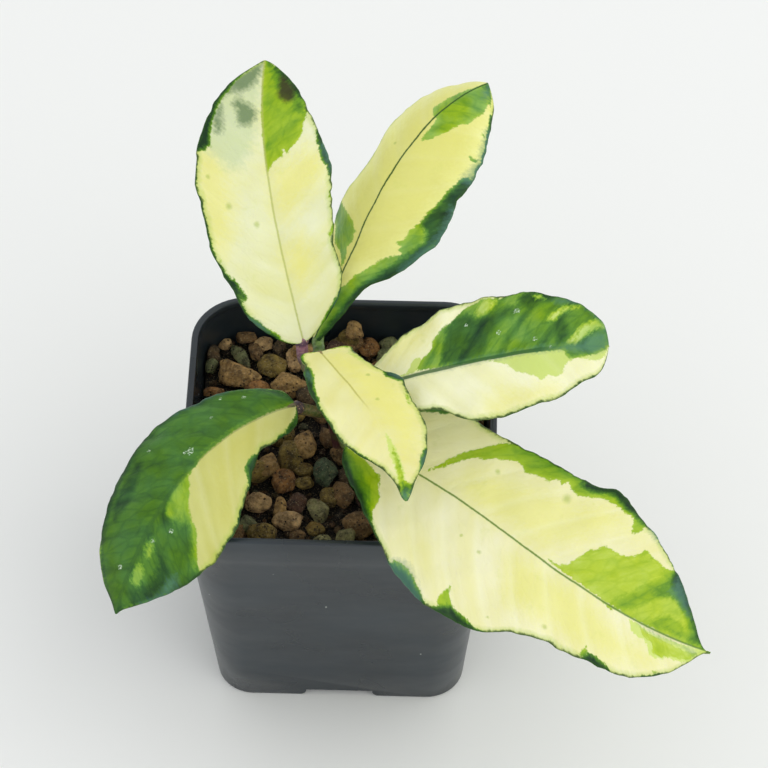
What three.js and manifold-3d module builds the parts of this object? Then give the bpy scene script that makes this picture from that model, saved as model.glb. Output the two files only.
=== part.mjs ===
// A young wax plant with thick variegated leaves, growing in a square black
// nursery pot that is filled with mixed mineral gravel.
//
// Millimetres, +Z up. The pieces are laid out round the middle of the pot's
// base. The whole group is then moved so that its origin lies on the surface
// that the pot stands on, under the middle of the object's own box.

import * as THREE from 'three';
import { mergeVertices } from 'three/addons/utils/BufferGeometryUtils.js';
import Module from 'manifold-3d';

const wasm = await Module();
wasm.setup();

// Pot: a thin moulded wall with a square section, round corners and a taper.
const POT_HEIGHT = 73.5;
const POT_TOP_HALF = 37.5;
const POT_TOP_CORNER = 13.5;
const POT_BASE_HALF = 31;
const POT_BASE_CORNER = 9.5;
const POT_WALL = 1.2;
const LIP_WIDTH = 1.7;
const LIP_DEPTH = 2.2;
const LIP_SLOPE = 0.5;
const SKIRT_WALL = 1.4;
const EDGE_ROUND = 0.5;
const BAND_DEPTH = 9;
const BAND_STEP = 0.25;
const FLOOR_UNDERSIDE = 3;
const FLOOR_THICKNESS = 1.4;
const NOTCH_HEIGHT = 2.8;
const NOTCH_WIDTH = 16.5;
const NOTCH_SPLAY = 2.5;
const DRAIN_RADIUS = 3.2;
const DRAIN_OFFSET = 14;
const DRAIN_SIDES = 16;
const CORNER_STEPS = 5;

// Gravel: a filled core with single stones bedded in its top.
const CORE_TOP = 61.4;
const STONE_BEDDING = 0.4;
const STONE_SPACING = 6.2;
const STONE_SCATTER = 0.75;
const STONE_RADIUS_MIN = 2.7;
const STONE_RADIUS_MAX = 4.2;
const STONE_HEIGHT_RATIO = 0.8;
const STONE_BULGE_MIN = 0.95;
const STONE_BULGE_MAX = 1.2;
const STONE_MARGIN = 4;
const STONE_SEED = 11;

// Larger stones on top, placed by hand: the middle, half-length, half-width,
// turn in degrees, and the lift of those that lie on other stones.
const LARGE_STONES = [
  [-26.5, 21.5, 6, 3.5, -8, 0.3],
  [-33, 25, 1.8, 3.2, 0, 0],
  [-26, 28, 4.5, 1.7, -58, 0.3],
  [-30, 31.5, 1.7, 1.7, 0, 0],
  [-25, 33, 2.8, 2.1, 20, 0.6],
  [-22.5, 29, 2, 2.8, 20, 0.2],
  [-20.5, 31.5, 2.6, 2, 0, 0.2],
  [-16.5, 30.5, 1.9, 2.4, 0, 0],
  [-18, 24.5, 3.4, 3.2, 0, 0],
  [-13, 26.5, 2.1, 3.9, 10, 0.2],
  [-13.5, 18.5, 4.3, 3.5, -10, 0.4],
  [-32, 16, 2.8, 1.6, 0, 0],
  [-29, 25.5, 1.8, 1.4, 0, 0],
  [-8.5, 0, 3.2, 4.2, 0, 0.4],
  [-17, -6.5, 2.8, 3.6, -15, 0.2],
  [-13.5, -11, 2.7, 3.9, 0, 0.2],
  [-9, -7, 2.6, 1.9, 0, 0],
  [-8.5, -11, 2.3, 1.7, 0, 0],
  [-3.5, -8.5, 3.3, 4.2, 0, 0.4],
  [-19.5, -17.5, 3.4, 2.6, 0, 0.4],
  [-14, -18.5, 2, 2.9, 0, 0],
  [-11.5, -23, 4, 2.5, -5, 0.5],
  [-10, -17, 2.4, 2.8, 0, -0.4],
  [-5, -19.5, 2.6, 3.9, 35, 0.3],
  [-2.5, -15, 2.2, 2.8, 0, -0.4],
  [1, -14.5, 2.6, 4, 20, -0.3],
  [5, -23.5, 4, 3.3, 10, 0],
  [2, -27, 2.5, 2.6, 0, 0.3],
  [-21.5, -24, 2.8, 2.5, -20, 0.2],
  [-9.5, -27, 2.2, 1.9, 0, 0],
  [-5.5, -24.5, 2.4, 2, 0, -0.3],
  [-3.5, -28, 2.3, 1.6, 0, 0.3],
  [1.5, 31.5, 3.4, 3, 0, 0.4],
  [1, 32.5, 2.8, 2.4, 0, 2.6],
  [2, 32.5, 2.7, 2.4, 0, 5.4],
  [5.5, 31, 3, 2.5, -15, 0.6],
  [10.5, 32.5, 2.6, 1.8, 20, 0.3],
  [-2, 31.5, 2.4, 2.4, 0, 0.8],
];

// Stem: one short upright stem with two swollen joints.
const STEM_SIDES = 10;
const STEM_STEPS = 26;
const STEM_RADIUS = 2.1;
const STEM_FOOT = 42;
const STEM_END_STEPS = 18;
const STEM_END_SHARE = 0.55;
const JOINT_SWELL = 1;
const JOINT_REACH = 3.2;
const LOWER_JOINT = new THREE.Vector3(-2, 0, 77);
const BETWEEN_JOINTS = new THREE.Vector3(-4.5, 1, 84);
const UPPER_JOINT = new THREE.Vector3(-6.5, 2.5, 90.5);
const STEM_TIP = new THREE.Vector3(-7, 2.8, 92.5);

// Leaves: shared sizes of the blades and of their stalks.
const STATIONS = 20;
const STEPS_PER_STATION = 3;
const COLUMNS = [-1, -0.7, -0.38, -0.1, 0, 0.1, 0.38, 0.7, 1];
const BASE_HALF_WIDTH = 1.3;
const TIP_HALF_WIDTH = 0.4;
const MARGIN_THICKNESS = 0.9;
const BLADE_THICKNESS = 1.5;
const KEEL_DEPTH = 1.3;
const STALK_RADIUS = 1.6;
const STALK_SIDES = 8;
const STALK_STEPS = 7;
const STALK_END_SHARE = 0.4;
const STALK_SEAT_DEPTH = 1;
const KNEE_REACH = 3.6;
const KNEE_RISE = 1.2;
const WAVE_HEIGHT = 0.5;
const WAVE_OFFSET = 0.35;

// Clearance between pieces that touch on the real plant.
const GAP = 0.3;

// Each leaf: the joint that it grows from and the heading of its stalk there,
// where its blade starts, its length along the midrib, its heading and rise at
// the start, middle and tip, its roll at the start and tip, the fold of its
// halves at the start and tip, the cupping of each half, and its half-widths on
// both sides of the midrib from the start to the tip. Angles are in degrees,
// and a heading of 0 points along +X and one of 90 along +Y.
const LEAVES = [
  {
    name: 'leaf_back_left',
    joint: UPPER_JOINT,
    stalk: 160,
    start: [-9, 5, 98],
    length: 68,
    heading: [121, 106, 85],
    rise: [64, 47, 15],
    roll: [0, 0],
    fold: [14, 5],
    cup: -14,
    left: [4.5, 9, 13, 15.5, 16.5, 16.5, 13, 8, 2.5],
    right: [4.5, 9.5, 13, 13, 14.5, 14.5, 11.5, 8, 3.5],
    waves: 5,
    color: 0xe3e6bb,
  },
  {
    name: 'leaf_back_right',
    joint: UPPER_JOINT,
    stalk: 70,
    start: [-6.5, 8.5, 93],
    length: 77,
    heading: [53, 55, 33],
    rise: [50, 37, -7],
    roll: [-25, -5],
    fold: [1, -14],
    cup: -30,
    left: [2, 4, 8, 14.5, 13, 13.5, 14, 13.5, 7],
    right: [2, 4, 7, 15, 18.5, 17.5, 16, 11.5, 6.5],
    waves: 4,
    color: 0xd3d9a0,
  },
  {
    name: 'leaf_right',
    joint: LOWER_JOINT,
    stalk: 5,
    start: [3.5, -3, 88],
    length: 64,
    heading: [-12, -1, 0],
    rise: [35, 22, 2],
    roll: [9, 6],
    fold: [14, 6],
    cup: -8,
    left: [3, 6, 10.5, 14, 15.5, 16, 14.5, 11, 7],
    right: [3.5, 6.5, 9, 10.5, 16, 17, 14, 10.5, 6.5],
    waves: 5,
    color: 0x9cb46a,
  },
  {
    name: 'leaf_left',
    joint: LOWER_JOINT,
    stalk: 213,
    start: [-10.5, -5.5, 85.5],
    length: 70,
    heading: [203, 229, 242],
    rise: [7, -26, -60],
    roll: [-2, 3],
    fold: [10, -8],
    cup: -19,
    left: [5.5, 7.5, 8.5, 14.5, 18, 17.5, 13.5, 7, 1.5],
    right: [5.5, 8.5, 12, 15, 16, 14, 12, 7.5, 2],
    waves: 5,
    color: 0x5e8a45,
  },
  {
    name: 'leaf_centre',
    joint: UPPER_JOINT,
    stalk: -50,
    start: [-4.5, 0.5, 98],
    length: 47,
    heading: [-61, -58, -82],
    rise: [13, -3, -28],
    roll: [-13, 2],
    fold: [17, 4],
    cup: -5,
    left: [5.5, 6.5, 7.5, 11, 10.5, 10, 7, 3, 1],
    right: [6, 7, 9.5, 11.5, 11.5, 10, 4.5, 2, 1],
    waves: 4,
    color: 0xe4e493,
  },
  {
    name: 'leaf_front_right',
    joint: LOWER_JOINT,
    stalk: -72,
    start: [2, -13, 80.5],
    length: 102,
    heading: [-27, -35, 1],
    rise: [14, -11, -26],
    roll: [10, 19],
    fold: [12, 5],
    cup: -4,
    left: [6.5, 13.5, 18, 18, 20.5, 22.5, 18, 10.5, 1],
    right: [6.5, 11.5, 17.5, 24.5, 24, 16.5, 14, 9, 1.5],
    waves: 6,
    color: 0xdcdf9f,
  },
];

// Helpers

const { lerp, degToRad } = THREE.MathUtils;

function solidOf(geometry) {
  const bare = geometry.clone();
  bare.deleteAttribute('normal');
  bare.deleteAttribute('uv');
  const merged = mergeVertices(bare, 1e-4);
  const vertProperties = new Float32Array(merged.attributes.position.array);
  const triVerts = new Uint32Array(merged.index.array);
  return new wasm.Manifold(new wasm.Mesh({ numProp: 3, vertProperties, triVerts }));
}

function geometryOf(solid) {
  const mesh = solid.getMesh();
  const geometry = new THREE.BufferGeometry();
  geometry.setAttribute('position', new THREE.BufferAttribute(mesh.vertProperties, 3));
  geometry.setIndex(new THREE.BufferAttribute(mesh.triVerts, 1));
  geometry.computeVertexNormals();
  return geometry;
}

function largestBody(solid) {
  const bodies = solid.decompose();
  bodies.sort((a, b) => b.volume() - a.volume());
  return bodies[0];
}

function meshGeometry(points, faces) {
  const geometry = new THREE.BufferGeometry();
  geometry.setAttribute('position', new THREE.Float32BufferAttribute(points.flat(), 3));
  geometry.setIndex(faces.flat());
  return geometry;
}

// A closed skin through rings of equal count, each ring anticlockwise as seen
// from the last ring, with a fan over each end.
function loft(rings) {
  const count = rings[0].length;
  const points = rings.flat().map((p) => [p.x, p.y, p.z]);
  const faces = [];
  for (let i = 0; i + 1 < rings.length; i += 1) {
    for (let j = 0; j < count; j += 1) {
      const a = i * count + j;
      const b = i * count + (j + 1) % count;
      faces.push([a, b, b + count], [a, b + count, a + count]);
    }
  }
  const ends = [rings[0], rings[rings.length - 1]];
  ends.forEach((ring, end) => {
    const centre = new THREE.Vector3();
    ring.forEach((p) => centre.add(p));
    centre.divideScalar(count);
    const apex = points.length;
    points.push([centre.x, centre.y, centre.z]);
    const first = end === 0 ? 0 : (rings.length - 1) * count;
    for (let j = 0; j < count; j += 1) {
      const a = first + j;
      const b = first + (j + 1) % count;
      faces.push(end === 0 ? [b, a, apex] : [a, b, apex]);
    }
  });
  return meshGeometry(points, faces);
}

function namedMesh(name, geometry, look) {
  const mesh = new THREE.Mesh(geometry, new THREE.MeshStandardMaterial(look));
  mesh.name = name;
  return mesh;
}

// Random numbers from 0 to 1 that are the same on every run.
function seededRandom(seed) {
  let state = seed;
  return () => {
    state = (state + 0x6d2b79f5) >>> 0;
    let mixed = Math.imul(state ^ (state >>> 15), state | 1);
    mixed ^= mixed + Math.imul(mixed ^ (mixed >>> 7), mixed | 61);
    return ((mixed ^ (mixed >>> 14)) >>> 0) / 4294967296;
  };
}

// Pot

function roundedSquare(half, corner, z) {
  const ring = [];
  const inset = half - corner;
  for (let quarter = 0; quarter < 4; quarter += 1) {
    const middle = (quarter + 0.5) * Math.PI / 2;
    const centreX = Math.sign(Math.cos(middle)) * inset;
    const centreY = Math.sign(Math.sin(middle)) * inset;
    for (let k = 0; k <= CORNER_STEPS; k += 1) {
      const angle = (quarter + k / CORNER_STEPS) * Math.PI / 2;
      const x = centreX + corner * Math.cos(angle);
      const y = centreY + corner * Math.sin(angle);
      ring.push(new THREE.Vector3(x, y, z));
    }
  }
  return ring;
}

// The pot's outline at a height, moved inwards by an inset.
function potRing(z, inset) {
  const up = z / POT_HEIGHT;
  const half = lerp(POT_BASE_HALF, POT_TOP_HALF, up) - inset;
  const corner = lerp(POT_BASE_CORNER, POT_TOP_CORNER, up) - inset;
  return roundedSquare(half, corner, z);
}

// A bar across the whole pot that cuts the notches in two opposite sides.
function notchCutter() {
  const half = NOTCH_WIDTH / 2;
  const low = -1;
  const outline = new THREE.Shape();
  outline.moveTo(-half - NOTCH_SPLAY, low);
  outline.lineTo(half + NOTCH_SPLAY, low);
  outline.quadraticCurveTo(half, 0, half, NOTCH_HEIGHT);
  outline.lineTo(-half, NOTCH_HEIGHT);
  outline.quadraticCurveTo(-half, 0, -half - NOTCH_SPLAY, low);
  const depth = 2 * POT_TOP_HALF;
  const cutter = new THREE.ExtrudeGeometry(outline, { depth, bevelEnabled: false, curveSegments: 4 });
  cutter.translate(0, 0, -depth / 2);
  cutter.rotateX(Math.PI / 2);
  return cutter;
}

function drainCutter(x, y) {
  const height = 4 * FLOOR_THICKNESS;
  const cutter = new THREE.CylinderGeometry(DRAIN_RADIUS, DRAIN_RADIUS, height, DRAIN_SIDES);
  cutter.rotateX(Math.PI / 2);
  cutter.translate(x, y, FLOOR_UNDERSIDE + FLOOR_THICKNESS / 2);
  return cutter;
}

function potGeometry() {
  const bandZ = POT_HEIGHT - BAND_DEPTH;
  const outside = loft([
    potRing(0, EDGE_ROUND + BAND_STEP),
    potRing(EDGE_ROUND * 2, BAND_STEP),
    potRing(bandZ - 1, BAND_STEP),
    potRing(bandZ, 0),
    potRing(POT_HEIGHT - EDGE_ROUND, 0),
    potRing(POT_HEIGHT, EDGE_ROUND),
  ]);
  const wallInset = POT_WALL + BAND_STEP;
  const inside = loft([
    potRing(FLOOR_UNDERSIDE + FLOOR_THICKNESS, wallInset),
    potRing(POT_HEIGHT - LIP_DEPTH, wallInset),
    potRing(POT_HEIGHT - LIP_DEPTH + LIP_SLOPE, LIP_WIDTH),
    potRing(POT_HEIGHT - EDGE_ROUND, LIP_WIDTH),
    potRing(POT_HEIGHT + 1, LIP_WIDTH - EDGE_ROUND),
  ]);
  const skirtInset = SKIRT_WALL + BAND_STEP;
  const underside = loft([potRing(-1, skirtInset), potRing(FLOOR_UNDERSIDE, skirtInset)]);
  const notch = notchCutter();
  let pot = solidOf(outside).subtract(solidOf(inside)).subtract(solidOf(underside));
  pot = pot.subtract(solidOf(notch));
  notch.rotateZ(Math.PI / 2);
  pot = pot.subtract(solidOf(notch));
  const drains = [[0, 0], [1, 1], [1, -1], [-1, 1], [-1, -1]];
  for (const [x, y] of drains) {
    pot = pot.subtract(solidOf(drainCutter(x * DRAIN_OFFSET, y * DRAIN_OFFSET)));
  }
  return geometryOf(pot);
}

// Stem

// Radius along the stem: it swells round its two joints.
function stemRadius(point) {
  let radius = STEM_RADIUS;
  for (const joint of [LOWER_JOINT, UPPER_JOINT]) {
    const near = Math.max(0, 1 - Math.abs(point.z - joint.z) / JOINT_REACH);
    radius += JOINT_SWELL * near * near * (3 - 2 * near);
  }
  return radius;
}

// A tube of changing radius along a curve.
function taperedTube(curve, steps, sides, radiusAt) {
  const rings = [];
  const frames = curve.computeFrenetFrames(steps, false);
  for (let i = 0; i <= steps; i += 1) {
    const centre = curve.getPointAt(i / steps);
    const radius = radiusAt(i / steps, centre);
    const ring = [];
    for (let j = 0; j < sides; j += 1) {
      const angle = j / sides * 2 * Math.PI;
      const across = frames.normals[i].clone().multiplyScalar(radius * Math.cos(angle));
      across.addScaledVector(frames.binormals[i], radius * Math.sin(angle));
      ring.push(across.add(centre));
    }
    rings.push(ring);
  }
  return loft(rings);
}

// The stem, grown outwards by a clearance when it is used as a cutter.
function stemSolid(clearance) {
  const curve = new THREE.CatmullRomCurve3([
    new THREE.Vector3(0, 0, STEM_FOOT - clearance),
    new THREE.Vector3(0, 0, lerp(STEM_FOOT, CORE_TOP, 0.5)),
    new THREE.Vector3(0, 0, CORE_TOP),
    LOWER_JOINT,
    BETWEEN_JOINTS,
    UPPER_JOINT,
    STEM_TIP.clone().setZ(STEM_TIP.z + clearance),
  ], false, 'centripetal');
  const radiusAt = (u, centre) => {
    const roundEnd = lerp(STEM_END_SHARE, 1, Math.min(1, (1 - u) * STEM_END_STEPS));
    return stemRadius(centre) * roundEnd + clearance;
  };
  return solidOf(taperedTube(curve, STEM_STEPS, STEM_SIDES, radiusAt));
}

// Gravel

// One rough stone: a ball of few faces with uneven corners, stretched.
function stoneSolid(random, place, radii, turn) {
  const stone = new THREE.IcosahedronGeometry(1, 0);
  const merged = mergeVertices(stone.deleteAttribute('uv').deleteAttribute('normal'), 1e-4);
  const position = merged.attributes.position;
  for (let i = 0; i < position.count; i += 1) {
    const corner = new THREE.Vector3().fromBufferAttribute(position, i);
    corner.multiplyScalar(lerp(STONE_BULGE_MIN, STONE_BULGE_MAX, random()));
    position.setXYZ(i, corner.x, corner.y, corner.z);
  }
  merged.rotateX(random() * Math.PI);
  merged.rotateZ(random() * Math.PI);
  merged.scale(...radii);
  merged.rotateZ(turn);
  merged.translate(...place);
  return solidOf(merged);
}

function placedStones(random) {
  return LARGE_STONES.map(([x, y, length, width, turn, lift]) => {
    const height = Math.min(length, width) * STONE_HEIGHT_RATIO;
    const z = CORE_TOP + STONE_BEDDING * height + lift;
    return stoneSolid(random, [x, y, z], [length, width, height], degToRad(turn));
  });
}

// Stones in staggered rows, each moved a little, where no larger one lies.
function scatteredStones(random) {
  const stones = [];
  const reach = POT_TOP_HALF - STONE_MARGIN;
  const rows = Math.floor(2 * reach / STONE_SPACING);
  for (let row = 0; row <= rows; row += 1) {
    for (let column = 0; column <= rows; column += 1) {
      const radius = lerp(STONE_RADIUS_MIN, STONE_RADIUS_MAX, random());
      const stagger = row % 2 / 2;
      const x = (column + stagger) * STONE_SPACING - reach + lerp(-STONE_SCATTER, STONE_SCATTER, random());
      const y = row * STONE_SPACING - reach + lerp(-STONE_SCATTER, STONE_SCATTER, random());
      const height = radius * lerp(0.65, 0.9, random());
      const z = CORE_TOP + STONE_BEDDING * height * lerp(-0.2, 1, random());
      const radii = [radius, radius * lerp(0.7, 1, random()), height];
      const turn = random() * Math.PI;
      const taken = LARGE_STONES.some((large) => Math.hypot(x - large[0], y - large[1]) < large[2] + 1);
      if (!taken) {
        stones.push(stoneSolid(random, [x, y, z], radii, turn));
      }
    }
  }
  return stones;
}

// The filled core, with stones fused into its top and clear of the pot's wall.
function gravelSolid() {
  const random = seededRandom(STONE_SEED);
  const inset = POT_WALL + BAND_STEP + GAP;
  const foot = FLOOR_UNDERSIDE + FLOOR_THICKNESS + GAP;
  const core = loft([potRing(foot, inset), potRing(CORE_TOP, inset)]);
  const space = loft([potRing(foot, inset), potRing(POT_HEIGHT - LIP_DEPTH, inset)]);
  const stones = [...placedStones(random), ...scatteredStones(random)];
  return wasm.Manifold.union([solidOf(core), ...stones]).intersect(solidOf(space));
}

// Leaves

// The smooth run from a through m at half way to b.
function bend([a, m, b], t) {
  return a + (4 * m - 3 * a - b) * t + (2 * a - 4 * m + 2 * b) * t * t;
}

// Frames along a leaf's midrib, closer together towards both of its ends.
function midribFrames(leaf) {
  const steps = STATIONS * STEPS_PER_STATION;
  const frames = [];
  const centre = new THREE.Vector3(...leaf.start);
  let before = null;
  for (let i = 0; i <= steps; i += 1) {
    const s = i / steps;
    const t = (1 - Math.cos(Math.PI * s)) / 2;
    const heading = degToRad(bend(leaf.heading, t));
    const rise = degToRad(bend(leaf.rise, t));
    const roll = degToRad(lerp(...leaf.roll, t));
    const level = Math.cos(rise);
    const along = new THREE.Vector3(level * Math.cos(heading), level * Math.sin(heading), Math.sin(rise));
    if (before) {
      const step = (t - before.t) * leaf.length / 2;
      centre.addScaledVector(along, step).addScaledVector(before.along, step);
    }
    const left = new THREE.Vector3(-Math.sin(heading), Math.cos(heading), 0);
    left.applyAxisAngle(along, roll);
    const up = new THREE.Vector3().crossVectors(along, left);
    before = { s, t, along, left, up, centre: centre.clone() };
    frames.push(before);
  }
  return frames;
}

// The blade's top at one frame, v running from -1 at the right margin through
// 0 at the midrib to 1 at the left margin.
function bladePoint(leaf, edges, frame, v) {
  const side = v < 0 ? -1 : 1;
  const across = Math.abs(v);
  const width = (side < 0 ? edges.right : edges.left).getPoint(frame.s).y;
  const fold = degToRad(lerp(...leaf.fold, frame.t));
  const cup = degToRad(leaf.cup);
  const out = (Math.sin(fold + cup * across) - Math.sin(fold)) / cup;
  const lift = (Math.cos(fold) - Math.cos(fold + cup * across)) / cup;
  const phase = 2 * Math.PI * (leaf.waves * frame.t + WAVE_OFFSET * side);
  const calm = Math.sin(Math.PI * frame.t);
  const wave = WAVE_HEIGHT * calm * across * across * Math.sin(phase);
  const point = frame.centre.clone();
  point.addScaledVector(frame.left, side * out * width);
  return point.addScaledVector(frame.up, lift * width + wave);
}

function widthCurve(widths) {
  const all = [BASE_HALF_WIDTH, ...widths, TIP_HALF_WIDTH];
  return new THREE.SplineCurve(all.map((width, i) => new THREE.Vector2(i, width)));
}

// Thickness under the top: thin at the margins, with a keel under the midrib.
function bladeDepth(t, v) {
  const across = Math.abs(v);
  const body = lerp(BLADE_THICKNESS, MARGIN_THICKNESS, across);
  const keel = across === 0 ? KEEL_DEPTH * (1 - t) : 0;
  return body + keel;
}

// The row and column numbers of a grid's border, in order round it.
function borderOf(rows, columns) {
  const border = [];
  for (let j = 0; j < columns - 1; j += 1) {
    border.push([0, j]);
  }
  for (let i = 0; i < rows - 1; i += 1) {
    border.push([i, columns - 1]);
  }
  for (let j = columns - 1; j > 0; j -= 1) {
    border.push([rows - 1, j]);
  }
  for (let i = rows - 1; i > 0; i -= 1) {
    border.push([i, 0]);
  }
  return border;
}

// The blade's top and underside are one grid each, split alike into triangles.
function bladeGeometry(leaf, frames) {
  const edges = { left: widthCurve(leaf.left), right: widthCurve(leaf.right) };
  const rows = frames.filter((frame, i) => i % STEPS_PER_STATION === 0);
  const top = rows.map((frame) => COLUMNS.map((v) => bladePoint(leaf, edges, frame, v)));
  const lastRow = rows.length - 1;
  const lastColumn = COLUMNS.length - 1;
  const under = rows.map((frame, i) => COLUMNS.map((v, j) => {
    const forward = top[Math.min(i + 1, lastRow)][j].clone().sub(top[Math.max(i - 1, 0)][j]);
    const sideways = top[i][Math.min(j + 1, lastColumn)].clone().sub(top[i][Math.max(j - 1, 0)]);
    const normal = forward.cross(sideways).normalize();
    return top[i][j].clone().addScaledVector(normal, -bladeDepth(frame.t, v));
  }));
  const points = [...top.flat(), ...under.flat()].map((p) => [p.x, p.y, p.z]);
  const lower = top.flat().length;
  const at = (i, j) => i * COLUMNS.length + j;
  const faces = [];
  for (let i = 0; i < lastRow; i += 1) {
    for (let j = 0; j < lastColumn; j += 1) {
      const [a, b, c, d] = [at(i, j), at(i, j + 1), at(i + 1, j + 1), at(i + 1, j)];
      faces.push([a, c, b], [a, d, c]);
      faces.push([a + lower, b + lower, c + lower], [a + lower, c + lower, d + lower]);
    }
  }
  const border = borderOf(rows.length, COLUMNS.length).map(([i, j]) => at(i, j));
  border.forEach((a, k) => {
    const b = border[(k + 1) % border.length];
    faces.push([a, b, b + lower], [a, b + lower, a + lower]);
  });
  return meshGeometry(points, faces);
}

// The stalk runs from inside the stem's joint into the underside of the blade,
// where it thins out.
function stalkGeometry(leaf, frames) {
  const seats = [frames[0], frames[Math.round(frames.length / 6)]].map((frame) => {
    return frame.centre.clone().addScaledVector(frame.up, -STALK_SEAT_DEPTH);
  });
  const heading = degToRad(leaf.stalk);
  const reach = new THREE.Vector3(Math.cos(heading), Math.sin(heading), 0);
  const knee = leaf.joint.clone().addScaledVector(reach, KNEE_REACH);
  knee.z += KNEE_RISE;
  const curve = new THREE.CatmullRomCurve3([leaf.joint, knee, ...seats], false, 'centripetal');
  const radiusAt = (u) => STALK_RADIUS * lerp(1, STALK_END_SHARE, Math.max(0, u - 0.6) / 0.4);
  return taperedTube(curve, STALK_STEPS, STALK_SIDES, radiusAt);
}

function leafSolid(leaf, stemCutter) {
  const frames = midribFrames(leaf);
  const blade = solidOf(bladeGeometry(leaf, frames));
  const stalk = solidOf(stalkGeometry(leaf, frames));
  return largestBody(blade.add(stalk).subtract(stemCutter));
}

// Assembly

const plant = new THREE.Group();
const stemCutter = stemSolid(GAP);
const gravel = largestBody(gravelSolid().subtract(stemCutter));

plant.add(namedMesh('pot', potGeometry(), { color: 0x2b2f31, roughness: 0.45, metalness: 0 }));
plant.add(namedMesh('gravel', geometryOf(gravel), { color: 0x7d6448, roughness: 0.95, metalness: 0 }));
plant.add(namedMesh('stem', geometryOf(stemSolid(0)), { color: 0x6d6a4a, roughness: 0.6, metalness: 0 }));
for (const leaf of LEAVES) {
  const geometry = geometryOf(leafSolid(leaf, stemCutter));
  plant.add(namedMesh(leaf.name, geometry, { color: leaf.color, roughness: 0.5, metalness: 0 }));
}

const middle = new THREE.Box3().setFromObject(plant).getCenter(new THREE.Vector3());
plant.position.set(-middle.x, -middle.y, 0);

export default plant;
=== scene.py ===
# %% [markdown]
# # A potted variegated hoya, dressed in Blender
#
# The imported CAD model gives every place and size: a square nursery pot full of
# gravel, one short stem, and six thick leaves marbled in cream and green.
# Here each of its pieces gets a finer mesh and a finish of its own.

# %% Load the frame
import math

import bpy
import numpy as np
from mathutils import Matrix, Vector, noise


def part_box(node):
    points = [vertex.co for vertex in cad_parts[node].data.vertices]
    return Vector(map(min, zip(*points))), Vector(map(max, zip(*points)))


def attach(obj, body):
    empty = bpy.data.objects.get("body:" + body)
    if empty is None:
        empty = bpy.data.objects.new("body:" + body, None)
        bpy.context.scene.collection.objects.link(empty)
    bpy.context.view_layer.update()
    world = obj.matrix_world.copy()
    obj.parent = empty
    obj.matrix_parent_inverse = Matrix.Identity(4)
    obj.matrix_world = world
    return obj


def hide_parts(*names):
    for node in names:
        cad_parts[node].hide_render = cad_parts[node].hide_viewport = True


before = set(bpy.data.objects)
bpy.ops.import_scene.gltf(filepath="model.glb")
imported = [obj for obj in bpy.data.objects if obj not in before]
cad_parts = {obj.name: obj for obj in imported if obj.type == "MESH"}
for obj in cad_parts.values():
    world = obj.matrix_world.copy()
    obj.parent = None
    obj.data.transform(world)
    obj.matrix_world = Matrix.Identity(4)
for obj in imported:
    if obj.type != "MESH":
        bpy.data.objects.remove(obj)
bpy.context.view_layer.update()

MM = 0.001
pot_low, pot_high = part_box("pot")
POT_MIDDLE = ((pot_low + pot_high) / 2).xy
bpy.ops.object.select_all(action="DESELECT")
print("nodes:", ", ".join(sorted(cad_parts)))

# %% [markdown]
# ## The camera
#
# The photograph looks steeply down on the plant from a little over 0.8 m away.
# Place, turn and lens come from fitting the pot's rim and foot to the picture,
# so the camera goes in first and is never touched again.

# %% Camera
bpy.ops.object.camera_add(
    location=(0.010442, -0.512299, 0.734703),
    rotation=[math.radians(a) for a in (38.56298, 0.04096, 1.73123)],
)
camera = bpy.context.object
camera.data.sensor_width = 36
camera.data.lens = 164.06
camera.data.clip_start = 0.01
bpy.context.scene.camera = camera
print("camera at", [round(c, 3) for c in camera.location])

# %% [markdown]
# ## Floor and light
#
# The plant stands on a plain pale floor in soft daylight from a large window on
# the right and a little in front. A bright even world fills the shadows, and
# one large area light gives them their direction.

# %% Floor and light
def shade(red, green, blue):
    """A colour given as 0 to 255 on a screen, as the linear numbers that Blender uses."""
    parts = [c / 255 for c in (red, green, blue)]
    return tuple(c / 12.92 if c < 0.04045 else ((c + 0.055) / 1.055) ** 2.4 for c in parts) + (1,)


def plain_finish(name, colour, roughness):
    """A material with its node tree and its shader."""
    material = bpy.data.materials.new(name)
    material.use_nodes = True
    shader = material.node_tree.nodes["Principled BSDF"]
    shader.inputs["Base Color"].default_value = colour
    shader.inputs["Roughness"].default_value = roughness
    return material, material.node_tree, shader


bpy.ops.mesh.primitive_plane_add(size=3)
floor = bpy.context.object
floor.name = "floor"
floor.data.materials.append(plain_finish("floor_paint", shade(244, 244, 241), 0.7)[0])

bpy.context.scene.view_settings.view_transform = "Standard"
world = bpy.data.worlds.new("daylight")
bpy.context.scene.world = world
world.use_nodes = True
world.node_tree.nodes["Background"].inputs["Color"].default_value = (0.96, 0.98, 1, 1)
world.node_tree.nodes["Background"].inputs["Strength"].default_value = 0.9


def window_light(name, place, aim, size, power, colour):
    """A square area light that faces a point."""
    bpy.ops.object.light_add(type="AREA", location=place)
    light = bpy.context.object
    light.name = name
    light.rotation_euler = (Vector(aim) - Vector(place)).to_track_quat("-Z", "Y").to_euler()
    light.data.size = size
    light.data.energy = power
    light.data.color = colour


window_light("window", (1, -0.4, 1.15), (0, -0.05, 0.04), 1.7, 7, (1, 0.99, 0.97))
print("floor and lights are in")

# %% [markdown]
# ## Small helpers for finishes
#
# A finish is a little tree of nodes. These helpers add one node each and join
# what they are given, a number or another node's output, to its sockets.

# %% Node helpers
def join(tree, source, socket):
    if isinstance(source, bpy.types.NodeSocket):
        tree.links.new(source, socket)
    else:
        socket.default_value = source


def own_value(tree, name, output="Fac"):
    """Reads what the mesh stores under this name."""
    made = tree.nodes.new("ShaderNodeAttribute")
    made.attribute_name = name
    return made.outputs[output]


def sums(tree, operation, *values):
    made = tree.nodes.new("ShaderNodeMath")
    made.operation = operation
    for value, socket in zip(values, made.inputs):
        join(tree, value, socket)
    return made.outputs[0]


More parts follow.
